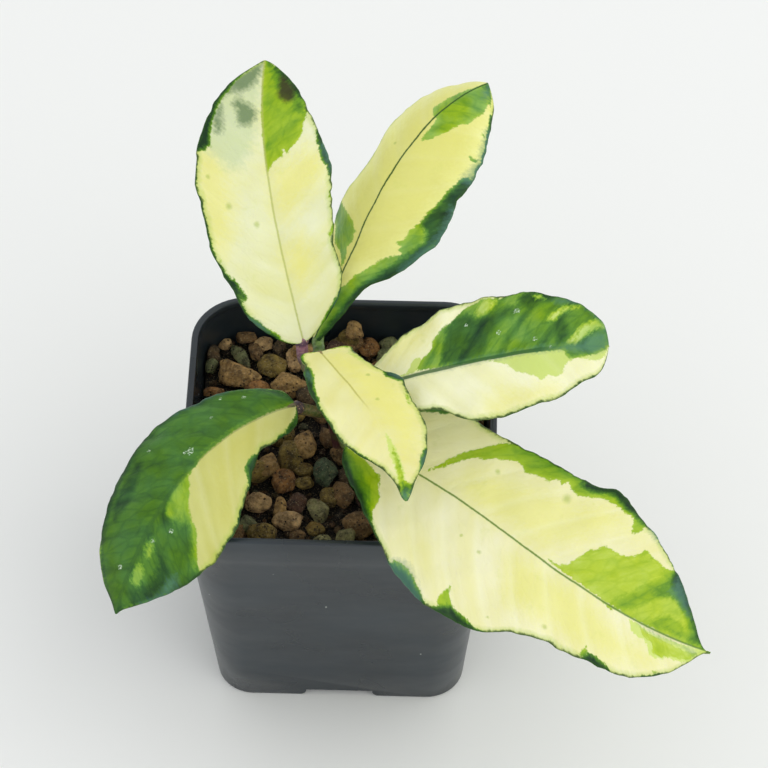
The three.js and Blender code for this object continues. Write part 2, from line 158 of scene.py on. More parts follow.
def stretch(tree, vector, scale):
    made = tree.nodes.new("ShaderNodeMapping")
    join(tree, vector, made.inputs["Vector"])
    made.inputs["Scale"].default_value = scale
    return made.outputs[0]


def cloud(tree, vector, scale, detail=2.0, rough=0.5):
    """Noise from about 0 to 1, with 0.5 in the middle."""
    made = tree.nodes.new("ShaderNodeTexNoise")
    join(tree, vector, made.inputs["Vector"])
    made.inputs["Scale"].default_value = scale
    made.inputs["Detail"].default_value = detail
    made.inputs["Roughness"].default_value = rough
    return made.outputs["Fac"]


def cells(tree, vector, scale):
    """Distance to the nearest of many scattered points."""
    made = tree.nodes.new("ShaderNodeTexVoronoi")
    join(tree, vector, made.inputs["Vector"])
    made.inputs["Scale"].default_value = scale
    return made.outputs["Distance"]


def ramp(tree, value, start, end, low=0.0, high=1.0):
    made = tree.nodes.new("ShaderNodeMapRange")
    join(tree, value, made.inputs["Value"])
    for socket, number in zip(("From Min", "From Max", "To Min", "To Max"), (start, end, low, high)):
        made.inputs[socket].default_value = number
    return made.outputs[0]


def blend_colours(tree, share, first, second, way="MIX"):
    made = tree.nodes.new("ShaderNodeMix")
    made.data_type = "RGBA"
    made.blend_type = way
    join(tree, share, made.inputs[0])
    join(tree, first, made.inputs[6])
    join(tree, second, made.inputs[7])
    return made.outputs[2]


def relief(tree, shader, height, depth):
    """Fine relief: a height of 0 to 1 stands for this depth in millimetres."""
    made = tree.nodes.new("ShaderNodeBump")
    made.inputs["Distance"].default_value = depth * MM
    join(tree, height, made.inputs["Height"])
    tree.links.new(made.outputs[0], shader.inputs["Normal"])


def object_place(tree):
    return tree.nodes.new("ShaderNodeTexCoord").outputs["Object"]


print("node helpers are ready")

# %% [markdown]
# ## Small helpers for pieces
#
# Every finished piece sits at the origin, rides on the one body and stands for
# its CAD node.

# %% Piece helpers
def start_piece(name):
    """Names the object that an operator has just added."""
    piece = bpy.context.object
    piece.name = piece.data.name = name
    return piece


def only(piece):
    bpy.ops.object.select_all(action="DESELECT")
    piece.select_set(True)
    bpy.context.view_layer.objects.active = piece


def apply_all(piece):
    only(piece)
    for modifier in list(piece.modifiers):
        bpy.ops.object.modifier_apply(modifier=modifier.name)


def settle(piece):
    """Moves the object's place into its mesh."""
    only(piece)
    bpy.ops.object.transform_apply(location=True, rotation=True, scale=True)


def merge(pieces, name):
    bpy.ops.object.select_all(action="DESELECT")
    for piece in pieces:
        piece.select_set(True)
    bpy.context.view_layer.objects.active = pieces[0]
    bpy.ops.object.join()
    return start_piece(name)


def smooth(piece, angle):
    only(piece)
    bpy.ops.object.shade_smooth_by_angle(angle=math.radians(angle))


def points_of(piece):
    places = np.zeros(len(piece.data.vertices) * 3)
    piece.data.vertices.foreach_get("co", places)
    return places.reshape(-1, 3)


def stored(piece, name):
    values = np.zeros(len(piece.data.vertices) * 3)
    piece.data.attributes[name].data.foreach_get("vector", values)
    return values.reshape(-1, 3)


def place_points(piece, places):
    piece.data.vertices.foreach_set("co", np.asarray(places, np.float32).ravel())
    piece.data.update()


def store(piece, name, values):
    """Keeps one number, one vector or one colour for each vertex of the mesh."""
    values = np.asarray(values, np.float32)
    kind, field = {1: ("FLOAT", "value"), 3: ("FLOAT_VECTOR", "vector"), 4: ("FLOAT_COLOR", "color")}[
        1 if values.ndim == 1 else values.shape[1]]
    layer = piece.data.attributes.get(name) or piece.data.attributes.new(name, kind, "POINT")
    layer.data.foreach_set(field, values.ravel())


def face_outwards(piece):
    only(piece)
    bpy.ops.object.mode_set(mode="EDIT")
    bpy.ops.mesh.select_all(action="SELECT")
    bpy.ops.mesh.normals_make_consistent(inside=False)
    bpy.ops.object.mode_set(mode="OBJECT")


def into_place(piece):
    """Brings a piece made in millimetres round the pot's middle to its size and place."""
    piece.scale = (MM,) * 3
    piece.location = (*POT_MIDDLE, 0)
    settle(piece)


def stand_for(piece, node):
    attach(piece, "root")
    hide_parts(node)
    print(piece.name, "has", len(piece.data.polygons), "faces")


def dress(piece, node, material):
    piece.data.materials.clear()
    piece.data.materials.append(material)
    stand_for(piece, node)


print("piece helpers are ready")

# %% [markdown]
# ## The pot
#
# The real pot is one thin moulding: a rounded square that widens upwards, with
# a shallow band under the rim, a small lip inside it, a raised floor with drain
# holes, and a skirt that is notched in the middle of each side.
#
# It starts as a plane with bevelled corners. The face is extruded upwards level
# by level, over the rim and down the inside, and each new ring is set on the
# rounded square of its height.

# %% Pot: the moulding
POT_HEIGHT = 73.5
TOP_HALF, TOP_CORNER = 37.5, 13.5
BASE_HALF, BASE_CORNER = 31, 9.5
CORNER_SEGMENTS = 12
POT_WALL, LIP_WIDTH, LIP_DEPTH, SKIRT_WALL = 1.2, 1.7, 2.2, 1.4
BAND_DEPTH, BAND_STEP, EDGE_ROUND = 9, 0.25, 0.5
FLOOR_UNDERSIDE, FLOOR_THICKNESS = 3, 1.4
NOTCH_HALF, NOTCH_HEIGHT = 8.25, 2.8
DRAIN_RADIUS, DRAIN_OFFSET = 3.2, 14


def rounded_square(places, height, inset):
    """Sets points, given relative to the middle, on the pot's outline at a height."""
    up = height / POT_HEIGHT
    half = BASE_HALF + (TOP_HALF - BASE_HALF) * up - inset
    corner = BASE_CORNER + (TOP_CORNER - BASE_CORNER) * up - inset
    signs = np.sign(places[:, :2])
    away = (places[:, :2] - signs * (BASE_HALF - BASE_CORNER)) / BASE_CORNER
    ring = signs * (half - corner) + away * corner
    return np.column_stack([ring, np.full(len(ring), height)])


def rounded_plate(name):
    """A flat rounded square the size of the pot's foot, which keeps where its points start."""
    bpy.ops.mesh.primitive_plane_add(size=2 * BASE_HALF)
    plate = start_piece(name)
    bpy.ops.object.mode_set(mode="EDIT")
    bpy.ops.mesh.bevel(offset=BASE_CORNER, segments=CORNER_SEGMENTS, affect="VERTICES")
    bpy.ops.object.mode_set(mode="OBJECT")
    store(plate, "start", points_of(plate))
    return plate


pot = rounded_plate("pot_moulding")
band = POT_HEIGHT - BAND_DEPTH
lip = POT_HEIGHT - LIP_DEPTH
inner = POT_WALL + BAND_STEP
skirt = SKIRT_WALL + BAND_STEP
rim_turn = [math.radians(a) for a in (0, 30, 60, 90)]
LEVELS = [(0.12, BAND_STEP + 0.2), (EDGE_ROUND, BAND_STEP)]
LEVELS += [(height, BAND_STEP) for height in (12, 25, 38, 51, band - 2)]
LEVELS += [(band - 1, BAND_STEP * 0.8), (band, BAND_STEP * 0.4), (band + 1.2, 0)]
LEVELS += [(POT_HEIGHT - EDGE_ROUND * (1 - math.sin(a)), EDGE_ROUND * (1 - math.cos(a))) for a in rim_turn]
LEVELS += [(POT_HEIGHT - EDGE_ROUND * (1 - math.cos(a)), LIP_WIDTH - EDGE_ROUND * (1 - math.sin(a)))
           for a in rim_turn]
LEVELS += [(lip + 0.5, LIP_WIDTH), (lip, inner + 0.05), (lip - 0.4, inner)]
LEVELS += [(height, inner) for height in (50, 30, FLOOR_UNDERSIDE + FLOOR_THICKNESS + 0.6)]
LEVELS += [(FLOOR_UNDERSIDE + FLOOR_THICKNESS, inner + 0.6)]
UNDER_LEVELS = [(0, BAND_STEP + EDGE_ROUND), (0, skirt), (FLOOR_UNDERSIDE, skirt)]


def raise_face(piece, levels):
    """Extrudes the selected face once for each level, and sets the new ring there."""
    for height, inset in levels:
        bpy.ops.object.mode_set(mode="EDIT")
        bpy.ops.mesh.extrude_region_move()
        bpy.ops.object.mode_set(mode="OBJECT")
        picked = [v.index for v in piece.data.vertices if v.select]
        places, starts = points_of(piece), stored(piece, "start")
        places[picked] = rounded_square(starts[picked], height, inset)
        place_points(piece, places)


def select_face(piece, chosen):
    """Selects one face of the mesh, and nothing else."""
    bpy.ops.object.mode_set(mode="EDIT")
    bpy.ops.mesh.select_mode(type="FACE")
    bpy.ops.mesh.select_all(action="DESELECT")
    bpy.ops.object.mode_set(mode="OBJECT")
    piece.data.polygons[chosen].select = True


place_points(pot, rounded_square(stored(pot, "start"), *UNDER_LEVELS[0]))
select_face(pot, 0)
raise_face(pot, LEVELS)
faces = pot.data.polygons
select_face(pot, min(range(len(faces)), key=lambda i: (len(faces[i].vertices) < 5, faces[i].center.z)))
raise_face(pot, UNDER_LEVELS[1:])
pot.data.attributes.remove(pot.data.attributes["start"])
face_outwards(pot)
print("the moulding has", len(pot.data.polygons), "faces")

# %% [markdown]
# The notches and the drain holes are cut with plain solids: two bars that flare
# in steps at the bottom, so that the ends of the feet come out round, and five
# short rods.

# %% Pot: notches and holes
BAR_FOOT = 1.9
# How far each step of the flare drops, and its half-width.
FOOT_ENDS = [(0, 8.3), (0.7, 8.6), (0.5, 9.1), (0.35, 9.8), (0.25, 10.6), (0.6, 12)]


def cutting_bar(name):
    """A bar as wide as the notch that flares downwards, step by step, to round the ends of the feet."""
    top = NOTCH_HEIGHT - BAR_FOOT
    bpy.ops.mesh.primitive_cube_add(size=1, scale=(2 * NOTCH_HALF, 3 * TOP_HALF, top))
    bar = start_piece(name)
    bar.location.z = NOTCH_HEIGHT - top / 2
    settle(bar)
    select_face(bar, min(range(6), key=lambda i: bar.data.polygons[i].center.z))
    half = NOTCH_HALF
    for drop, wide in FOOT_ENDS:
        bpy.ops.object.mode_set(mode="EDIT")
        if drop:
            bpy.ops.mesh.extrude_region_move(TRANSFORM_OT_translate={"value": (0, 0, -drop)})
        bpy.ops.transform.resize(value=(wide / half, 1, 1))
        bpy.ops.object.mode_set(mode="OBJECT")
        half = wide
    return bar


def drain_rod(x, y):
    middle = FLOOR_UNDERSIDE + FLOOR_THICKNESS / 2
    bpy.ops.mesh.primitive_cylinder_add(vertices=32, radius=DRAIN_RADIUS, depth=6, location=(x, y, middle))
    return bpy.context.object


bars = [cutting_bar("bar_front"), cutting_bar("bar_side")]
bars[1].rotation_euler.z = math.pi / 2
settle(bars[1])
spots = [(0, 0)] + [(x * DRAIN_OFFSET, y * DRAIN_OFFSET) for x in (-1, 1) for y in (-1, 1)]
rods = merge([drain_rod(x, y) for x, y in spots], "drain_rods")
for cutter in (*bars, rods):
    cut = pot.modifiers.new("cut", "BOOLEAN")
    cut.object = cutter
    cut.solver = "EXACT"
    apply_all(pot)
    bpy.data.objects.remove(cutter)
into_place(pot)
smooth(pot, 32)
print("cut pot:", len(pot.data.polygons), "faces")

# %% [markdown]
# ### The pot's plastic
#
# The pot is charcoal plastic: satin, with long faint ripples from the mould, a
# little bloom, and a few pale specks of dust.

# %% Pot: finish
PLASTIC, PLASTIC_DARK, PLASTIC_BLOOM, DUST = (34, 38, 40), (28, 35, 40), (43, 52, 58), (205, 208, 205)


def pot_plastic():
    material, tree, shader = plain_finish("pot_plastic", shade(*PLASTIC), 0.36)
    place = object_place(tree)
    swells = cloud(tree, stretch(tree, place, (40, 40, 80)), 1, 2, 0.4)
    ripple = cloud(tree, stretch(tree, place, (110, 110, 170)), 1, 2, 0.5)
    grain = cloud(tree, place, 2600, 3, 0.6)
    bloom = ramp(tree, cloud(tree, stretch(tree, place, (1, 1, 1.3)), 40, 3, 0.55), 0.3, 0.75)
    base = blend_colours(tree, bloom, shade(*PLASTIC_DARK), shade(*PLASTIC_BLOOM))
    dust = ramp(tree, cells(tree, place, 130), 0.034, 0.018)
    rare = ramp(tree, cloud(tree, place, 170, 1), 0.5, 0.56)
    speck = sums(tree, "MULTIPLY", dust, rare)
    colour = blend_colours(tree, speck, base, shade(*DUST))
    tree.links.new(colour, shader.inputs["Base Color"])
    tree.links.new(ramp(tree, bloom, 0, 1, 0.24, 0.36), shader.inputs["Roughness"])
    height = sums(tree, "MULTIPLY_ADD", grain, 0.012, sums(tree, "MULTIPLY_ADD", ripple, 0.16, swells))
    relief(tree, shader, height, 0.5)
    return material


dress(pot, "pot", pot_plastic())

# %% [markdown]
# ## The gravel
#
# The pot is filled with a mix of porous stones: tan pumice, brown and rusty
# lava, olive and grey-green grit, 1 to 12 mm long. The bigger ones on top lie
# where they lie in the photograph. Each stone has a few worn flats and rough
# pits. Here a ball is cut by soft planes and roughened in code. A handful of
# stones is modelled, and each is copied with its own turn and stretch.

# %% Gravel: where the stones lie
CORE_TOP, STONE_BEDDING = 61.4, 0.4
WALL_CLEARANCE, FILL_GAP = 0.15, 0.3
TAN, PINKISH, BROWN, RUST = (162, 130, 82), (174, 144, 104), (118, 92, 58), (138, 98, 54)
DARK_BROWN, PURPLE, OLIVE = (80, 64, 42), (84, 60, 48), (122, 104, 50)
GREY_GREEN, SLATE, PALE_GREEN = (106, 112, 78), (76, 94, 70), (136, 134, 92)

# The middle, half-length, half-width, turn in degrees, lift and colour of each.
LARGE_STONES = [
    (-26.5, 21.5, 6, 3.5, -8, 0.3, TAN), (-33, 25, 1.8, 3.2, 0, 0, GREY_GREEN),
    (-26, 28, 4.5, 1.7, -58, 0.3, GREY_GREEN), (-30, 31.5, 1.7, 1.7, 0, 0, PINKISH),
    (-25, 33, 2.8, 2.1, 20, 0.6, BROWN), (-22.5, 29, 2, 2.8, 20, 0.2, BROWN),
    (-20.5, 31.5, 2.6, 2, 0, 0.2, PINKISH), (-16.5, 30.5, 1.9, 2.4, 0, 0, DARK_BROWN),
    (-18, 24.5, 3.4, 3.2, 0, 0, OLIVE), (-13, 26.5, 2.1, 3.9, 10, 0.2, PINKISH),
    (-13.5, 18.5, 4.3, 3.5, -10, 0.4, TAN), (-32, 16, 2.8, 1.6, 0, 0, RUST),
    (-29, 25.5, 1.8, 1.4, 0, 0, TAN), (-8.5, 0, 3.2, 4.2, 0, 0.4, TAN),
    (-17, -6.5, 2.8, 3.6, -15, 0.2, TAN), (-13.5, -11, 2.7, 3.9, 0, 0.2, RUST),
    (-9, -7, 2.6, 1.9, 0, 0, OLIVE), (-8.5, -11, 2.3, 1.7, 0, 0, OLIVE),
    (-3.5, -8.5, 3.3, 4.2, 0, 0.4, SLATE), (-19.5, -17.5, 3.4, 2.6, 0, 0.4, PINKISH),
    (-14, -18.5, 2, 2.9, 0, 0, TAN), (-11.5, -23, 4, 2.5, -5, 0.5, PINKISH),
    (-10, -17, 2.4, 2.8, 0, -0.4, PURPLE), (-5, -19.5, 2.6, 3.9, 35, 0.3, PALE_GREEN),
    (-2.5, -15, 2.2, 2.8, 0, -0.4, OLIVE), (1, -14.5, 2.6, 4, 20, -0.3, BROWN),
    (5, -23.5, 4, 3.3, 10, 0, BROWN), (2, -27, 2.5, 2.6, 0, 0.3, PALE_GREEN),
    (-21.5, -24, 2.8, 2.5, -20, 0.2, GREY_GREEN), (-9.5, -27, 2.2, 1.9, 0, 0, BROWN),
    (-5.5, -24.5, 2.4, 2, 0, -0.3, OLIVE), (-3.5, -28, 2.3, 1.6, 0, 0.3, PALE_GREEN),
    (1.5, 31.5, 3.4, 3, 0, 0.4, BROWN), (1, 32.5, 2.8, 2.4, 0, 2.6, OLIVE),
    (2, 32.5, 2.7, 2.4, 0, 5.4, TAN), (5.5, 31, 3, 2.5, -15, 0.6, RUST),
    (10.5, 32.5, 2.6, 1.8, 20, 0.3, GREY_GREEN), (-2, 31.5, 2.4, 2.4, 0, 0.8, OLIVE),
]
STONE_SPACING, STONE_SCATTER, STONE_REACH = 6.2, 0.75, 33.5
# How many random numbers the CAD model takes for the shape of each stone; here they are passed over.
SHAPE_DRAWS = 14
SMALL_COLOURS = [BROWN, OLIVE, DARK_BROWN, TAN, PURPLE, GREY_GREEN, BROWN, RUST, DARK_BROWN, OLIVE]


def even_random(seed):
    """The same run of even random numbers that places the stones of the CAD model."""
    state, whole = seed, 0xFFFFFFFF

    def draw():
        nonlocal state
        state = (state + 0x6D2B79F5) & whole
        mixed = (state ^ (state >> 15)) * (state | 1) & whole
        mixed ^= (mixed + ((mixed ^ (mixed >> 7)) * (mixed | 61) & whole)) & whole
        return ((mixed ^ (mixed >> 14)) & whole) / 4294967296
    return draw


def between(low, high, share):
    return low + (high - low) * share


def stone_places():
    """Place, half-sizes, turn and colour of every stone, the large ones first."""
    draw = even_random(11)
    stones = []
    for x, y, length, width, turn, lift, colour in LARGE_STONES:
        height = min(length, width) * 0.8
        for _ in range(SHAPE_DRAWS):
            draw()
        place = (x, y, CORE_TOP + STONE_BEDDING * height + lift)
        stones.append((place, (length, width, height), math.radians(turn), colour))
    rows = int(2 * STONE_REACH / STONE_SPACING)
    for row in range(rows + 1):
        for column in range(rows + 1):
            radius = between(2.7, 4.2, draw())
            x = (column + row % 2 / 2) * STONE_SPACING - STONE_REACH
            x += between(-STONE_SCATTER, STONE_SCATTER, draw())
            y = row * STONE_SPACING - STONE_REACH + between(-STONE_SCATTER, STONE_SCATTER, draw())
            height = radius * between(0.65, 0.9, draw())
            z = CORE_TOP + STONE_BEDDING * height * between(-0.2, 1, draw())
            sizes = (radius, radius * between(0.7, 1, draw()), height)
            turn = draw() * math.pi
            if any(math.hypot(x - large[0], y - large[1]) < large[2] + 1 for large in LARGE_STONES):
                continue
            for _ in range(SHAPE_DRAWS):
                draw()
            stones.append(((x, y, z), sizes, turn, SMALL_COLOURS[len(stones) % len(SMALL_COLOURS)]))
    return stones


STONES = stone_places()
print(len(LARGE_STONES), "large stones of", len(STONES))

# %% Gravel: the model stones
FLAT_DEPTHS, FLAT_CRISPNESS = (0.58, 0.95), 26
# How fine each layer of roughness is, and its share.
SURFACE_LUMPS = ((1.5, 1), (3.5, 0.6), (8, 0.35))
STONE_BULGE, STONE_FOOT = 1.06, CORE_TOP - 4
# The chips are darkened to 8 to 40 per cent of a stone colour: painted shade in the gaps between the stones.
CHIP_COUNT, CHIP_REACH, CHIP_SIZES, CHIP_PAINTED_SHADE, CHIP_SINK = 700, 34, (0.5, 1.5), (0.08, 0.4), 1.4

# The rounded square inside the pot's walls at the foot of the stones: its corner, and its straight half-side.
WALL_UP = STONE_FOOT / POT_HEIGHT
WALL_IN = POT_WALL + BAND_STEP + WALL_CLEARANCE
WELL_CORNER = BASE_CORNER + (TOP_CORNER - BASE_CORNER) * WALL_UP - WALL_IN
WELL_STRAIGHT = BASE_HALF + (TOP_HALF - BASE_HALF) * WALL_UP - WALL_IN - WELL_CORNER


def worn_ball(name, seed, subdivisions, flats=10, roughness=0.12):
    """A ball of radius 1 with worn flats and a rough skin."""
    bpy.ops.mesh.primitive_ico_sphere_add(subdivisions=subdivisions, radius=1)
    ball = start_piece(name)
    chance = np.random.default_rng(seed)
    normals = chance.normal(size=(flats, 3))
    normals /= np.linalg.norm(normals, axis=1)[:, None]
    depths = chance.uniform(*FLAT_DEPTHS, flats)
    ways = points_of(ball)
    ways /= np.linalg.norm(ways, axis=1)[:, None]
    reach = np.maximum(ways @ normals.T, 0.02) / depths
    radius = (np.sum(reach ** FLAT_CRISPNESS, axis=1) + 1) ** (-1 / FLAT_CRISPNESS)
    shift = Vector(chance.uniform(0, 50, 3))
    for i, way in enumerate(ways):
        rough = sum(part * noise.noise(Vector(way) * fineness + shift) for fineness, part in SURFACE_LUMPS)
        radius[i] *= 1 + roughness * rough
    place_points(ball, ways * radius[:, None])
    return ball


def copy_stone(model, place, sizes, turn, tumble, colour):
    """A copy of a model stone, turned, stretched, placed and kept inside the pot's walls."""
    stone = bpy.data.objects.new("stone", model.data.copy())
    bpy.context.scene.collection.objects.link(stone)
    spin = np.array(Matrix.Rotation(turn, 3, "Z"))
    roll = np.array(Matrix.Rotation(tumble[0], 3, "X") @ Matrix.Rotation(tumble[1], 3, "Y"))
    places = (points_of(model) @ roll.T * sizes * STONE_BULGE) @ spin.T + place
    places[:, 2] = np.maximum(places[:, 2], STONE_FOOT)
    over = np.maximum(abs(places[:, :2]) - WELL_STRAIGHT, 0)
    pull = np.minimum(1, WELL_CORNER / np.maximum(np.linalg.norm(over, axis=1), 1e-9))[:, None]
    places[:, :2] = np.sign(places[:, :2]) * (np.minimum(abs(places[:, :2]), WELL_STRAIGHT) + over * pull)
    place_points(stone, (places + (*POT_MIDDLE / MM, 0)) * MM)
    store(stone, "stone_colour", np.tile(colour, (len(places), 1)))
    return stone


chance = np.random.default_rng(5)
large_models = [worn_ball(f"large_model_{i}", 20 + i, 4, flats=8 + i % 5) for i in range(7)]
small_models = [worn_ball(f"small_model_{i}", 60 + i, 3) for i in range(5)]
chip_model = worn_ball("chip_model", 90, 1, flats=6, roughness=0.2)
stones = []
for i, (place, sizes, turn, colour) in enumerate(STONES):
    models = large_models if i < len(LARGE_STONES) else small_models
    tint = np.array(shade(*colour)) * chance.uniform(0.85, 1.15)
    stones.append(copy_stone(models[i % len(models)], place, sizes, turn, chance.uniform(0, 6.3, 2), tint))
for _ in range(CHIP_COUNT):
    x, y = chance.uniform(-CHIP_REACH, CHIP_REACH, 2)
    size = chance.uniform(*CHIP_SIZES)
    colour = SMALL_COLOURS[chance.integers(len(SMALL_COLOURS))]
    tint = np.array(shade(*colour)) * chance.uniform(*CHIP_PAINTED_SHADE)
    place = (x, y, CORE_TOP - chance.uniform(0, CHIP_SINK))
    sizes = (size, size * 0.8, size * 0.7)
    stones.append(copy_stone(chip_model, place, sizes, chance.uniform(0, 3), (0, 0), tint))
for model in (*large_models, *small_models, chip_model):
    bpy.data.objects.remove(model)
gravel = merge(stones, "gravel_stones")
smooth(gravel, 50)
print("stones have", len(gravel.data.polygons), "faces")

# %% [markdown]
# Under the stones the pot is full of finer grit. It is one rounded square
# block with its top edge softened, coloured very dark as painted shade in the
# gaps between the stones.

# %% Gravel: the filling
fill = rounded_plate("gravel_fill")
fill_inset = inner + FILL_GAP
fill_foot = FLOOR_UNDERSIDE + FLOOR_THICKNESS + FILL_GAP
place_points(fill, rounded_square(stored(fill, "start"), fill_foot, fill_inset + 0.6))
select_face(fill, 0)
raise_face(fill, [(fill_foot + 0.6, fill_inset), (CORE_TOP - 2, fill_inset)])
raise_face(fill, [(CORE_TOP - 1.4, fill_inset + 0.4)])
fill.data.attributes.remove(fill.data.attributes["start"])
face_outwards(fill)
into_place(fill)
# The filling takes the darkest chips' colour, as painted shade.
FILL_PAINTED_SHADE = np.array(shade(*DARK_BROWN)) * CHIP_PAINTED_SHADE[0]
store(fill, "stone_colour", np.tile(FILL_PAINTED_SHADE, (len(fill.data.vertices), 1)))


def stone_finish(name):
    material, tree, shader = plain_finish(name, shade(*TAN), 0.9)
    place = object_place(tree)
    base = own_value(tree, "stone_colour", "Color")
    patches = ramp(tree, cloud(tree, place, 480, 4, 0.7), 0.32, 0.7)
    light = blend_colours(tree, patches, (0.32, 0.3, 0.28, 1), (1.75, 1.7, 1.56, 1))
    toned = blend_colours(tree, 1.0, base, light, "MULTIPLY")
    rust = ramp(tree, cloud(tree, place, 330, 3, 0.6), 0.56, 0.66, 0, 0.25)
    toned = blend_colours(tree, rust, toned, shade(122, 78, 34))
    crumbs = ramp(tree, cloud(tree, place, 2100, 3, 0.7), 0.56, 0.66, 0, 0.55)
    toned = blend_colours(tree, crumbs, toned, shade(176, 158, 122))
    # The pits are sunk in the relief and painted nearly black inside: painted shade in the pores.
    pits = ramp(tree, cells(tree, place, 1100), 0.34, 0.16)
    some = ramp(tree, cloud(tree, place, 420, 2), 0.42, 0.6)
    holes = sums(tree, "MULTIPLY", pits, some)
    colour = blend_colours(tree, holes, toned, shade(34, 26, 18))
    tree.links.new(colour, shader.inputs["Base Color"])
    grit = cloud(tree, place, 1500, 5, 0.75)
    lumps = cloud(tree, place, 700, 3, 0.6)
    rough = sums(tree, "SUBTRACT", grit, sums(tree, "MULTIPLY", holes, 0.8))
    height = sums(tree, "MULTIPLY_ADD", lumps, 1.2, rough)
    relief(tree, shader, height, 0.75)
    return material


stone_skin = stone_finish("stone_skin")
dress(gravel, "gravel", stone_skin)
dress(fill, "gravel", stone_skin)

# %% [markdown]
# ## The stem
#
# The stem is short and leans only a little. It swells where leaves grow from
# it. A curve with a round bevel and a radius at every point is the usual way to
# a tube whose thickness changes.

# %% Stem
ROW_SHIFT = np.array([POT_MIDDLE.x, POT_MIDDLE.y, 0]) / MM
LOWER_JOINT = np.array([-2, 0, 77.0])
UPPER_JOINT = np.array([-6.5, 2.5, 90.5])
STEM_POINTS = [(0, 0, 42), (0, 0, 51.7), (0, 0, 61.4), LOWER_JOINT, (-4.5, 1, 84), UPPER_JOINT,
               (-7, 2.8, 92.5)]
STEM_RADIUS, JOINT_SWELL, JOINT_REACH = 2.1, 1, 3.2


def through(values, share):
    """The smooth run through values at even steps, read at shares of 0 to 1."""
    values = np.asarray(values, float)
    last = len(values) - 1
    place = np.clip(np.asarray(share, float) * last, 0, last - 1e-9)
    step = place.astype(int)
    part = (place - step).reshape(-1, *[1] * (values.ndim - 1))
    before, start, end, after = (values[np.clip(step + k, 0, last)] for k in (-1, 0, 1, 2))
    slope_in, slope_out = (end - before) / 2, (after - start) / 2
    return ((2 * start - 2 * end + slope_in + slope_out) * part ** 3
            + (3 * end - 3 * start - 2 * slope_in - slope_out) * part ** 2 + slope_in * part + start)


def tube(name, points, radii, sides=5):
    """A closed tube through points in millimetres of the pot's frame."""
    bpy.ops.curve.primitive_bezier_curve_add()
    curve = bpy.context.object
    curve.data.splines.clear()
    spline = curve.data.splines.new("POLY")
    spline.points.add(len(points) - 1)
    for spot, place, radius in zip(spline.points, (np.asarray(points) + ROW_SHIFT) * MM, radii):
        spot.co = (*place, 1)
        spot.radius = radius
    curve.data.bevel_depth = MM
    curve.data.bevel_resolution = sides
    curve.data.use_fill_caps = True
    only(curve)
    bpy.ops.object.convert(target="MESH")
    made = start_piece(name)
    settle(made)
    bpy.ops.object.mode_set(mode="EDIT")
    bpy.ops.mesh.select_all(action="SELECT")
    bpy.ops.mesh.remove_doubles(threshold=MM / 100)
    bpy.ops.object.mode_set(mode="OBJECT")
    face_outwards(made)
    return made


share = np.linspace(0, 1, 90)
stem_points = through(STEM_POINTS, share)
near = [np.clip(1 - abs(stem_points[:, 2] - joint[2]) / JOINT_REACH, 0, 1)
        for joint in (LOWER_JOINT, UPPER_JOINT)]
swell = sum(JOINT_SWELL * n * n * (3 - 2 * n) for n in near)
taper = np.interp(share, (0, 0.95, 0.985, 1), (1, 1, 0.8, 0.4))
stem = tube("stem_skin", stem_points, (STEM_RADIUS + swell) * taper * 0.95, 7)
smooth(stem, 60)


def stem_finish():
    material, tree, shader = plain_finish("stem_bark", shade(96, 92, 58), 0.5)
    place = object_place(tree)
    streaks = ramp(tree, cloud(tree, stretch(tree, place, (1400, 1400, 160)), 1, 4), 0.32, 0.68)
    base = blend_colours(tree, streaks, shade(104, 92, 60), shade(78, 92, 46))
    joints = ramp(tree, cloud(tree, place, 130, 3), 0.45, 0.62)
    colour = blend_colours(tree, joints, base, shade(92, 52, 56))
    tree.links.new(colour, shader.inputs["Base Color"])
    relief(tree, shader, streaks, 0.2)
    return material


dress(stem, "stem", stem_finish())

# %% [markdown]
# ## The leaves
#
# A leaf of this plant is thick and waxy. Its blade is gently folded along a sunk
# midrib, cupped across, arched along, and a little wavy at the margin, with
# faint swellings between the side veins.
#
# A grid gives a sheet of even faces. Its points are laid by a formula on the
# same curved surface that the CAD leaf uses, so that the two lie on each other,
# and the Solidify modifier then gives it its thickness. Each leaf keeps its own
# midrib run, half-widths and small unevenness of outline, all in millimetres.

# %% Leaves: shapes
WAVE_HEIGHT, WAVE_OFFSET = 0.5, 0.35
BASE_HALF_WIDTH, TIP_HALF_WIDTH = 1.3, 0.15
BLADE_THICKNESS, MARGIN_THICKNESS, KEEL_DEPTH = 1.5, 0.9, 1.3

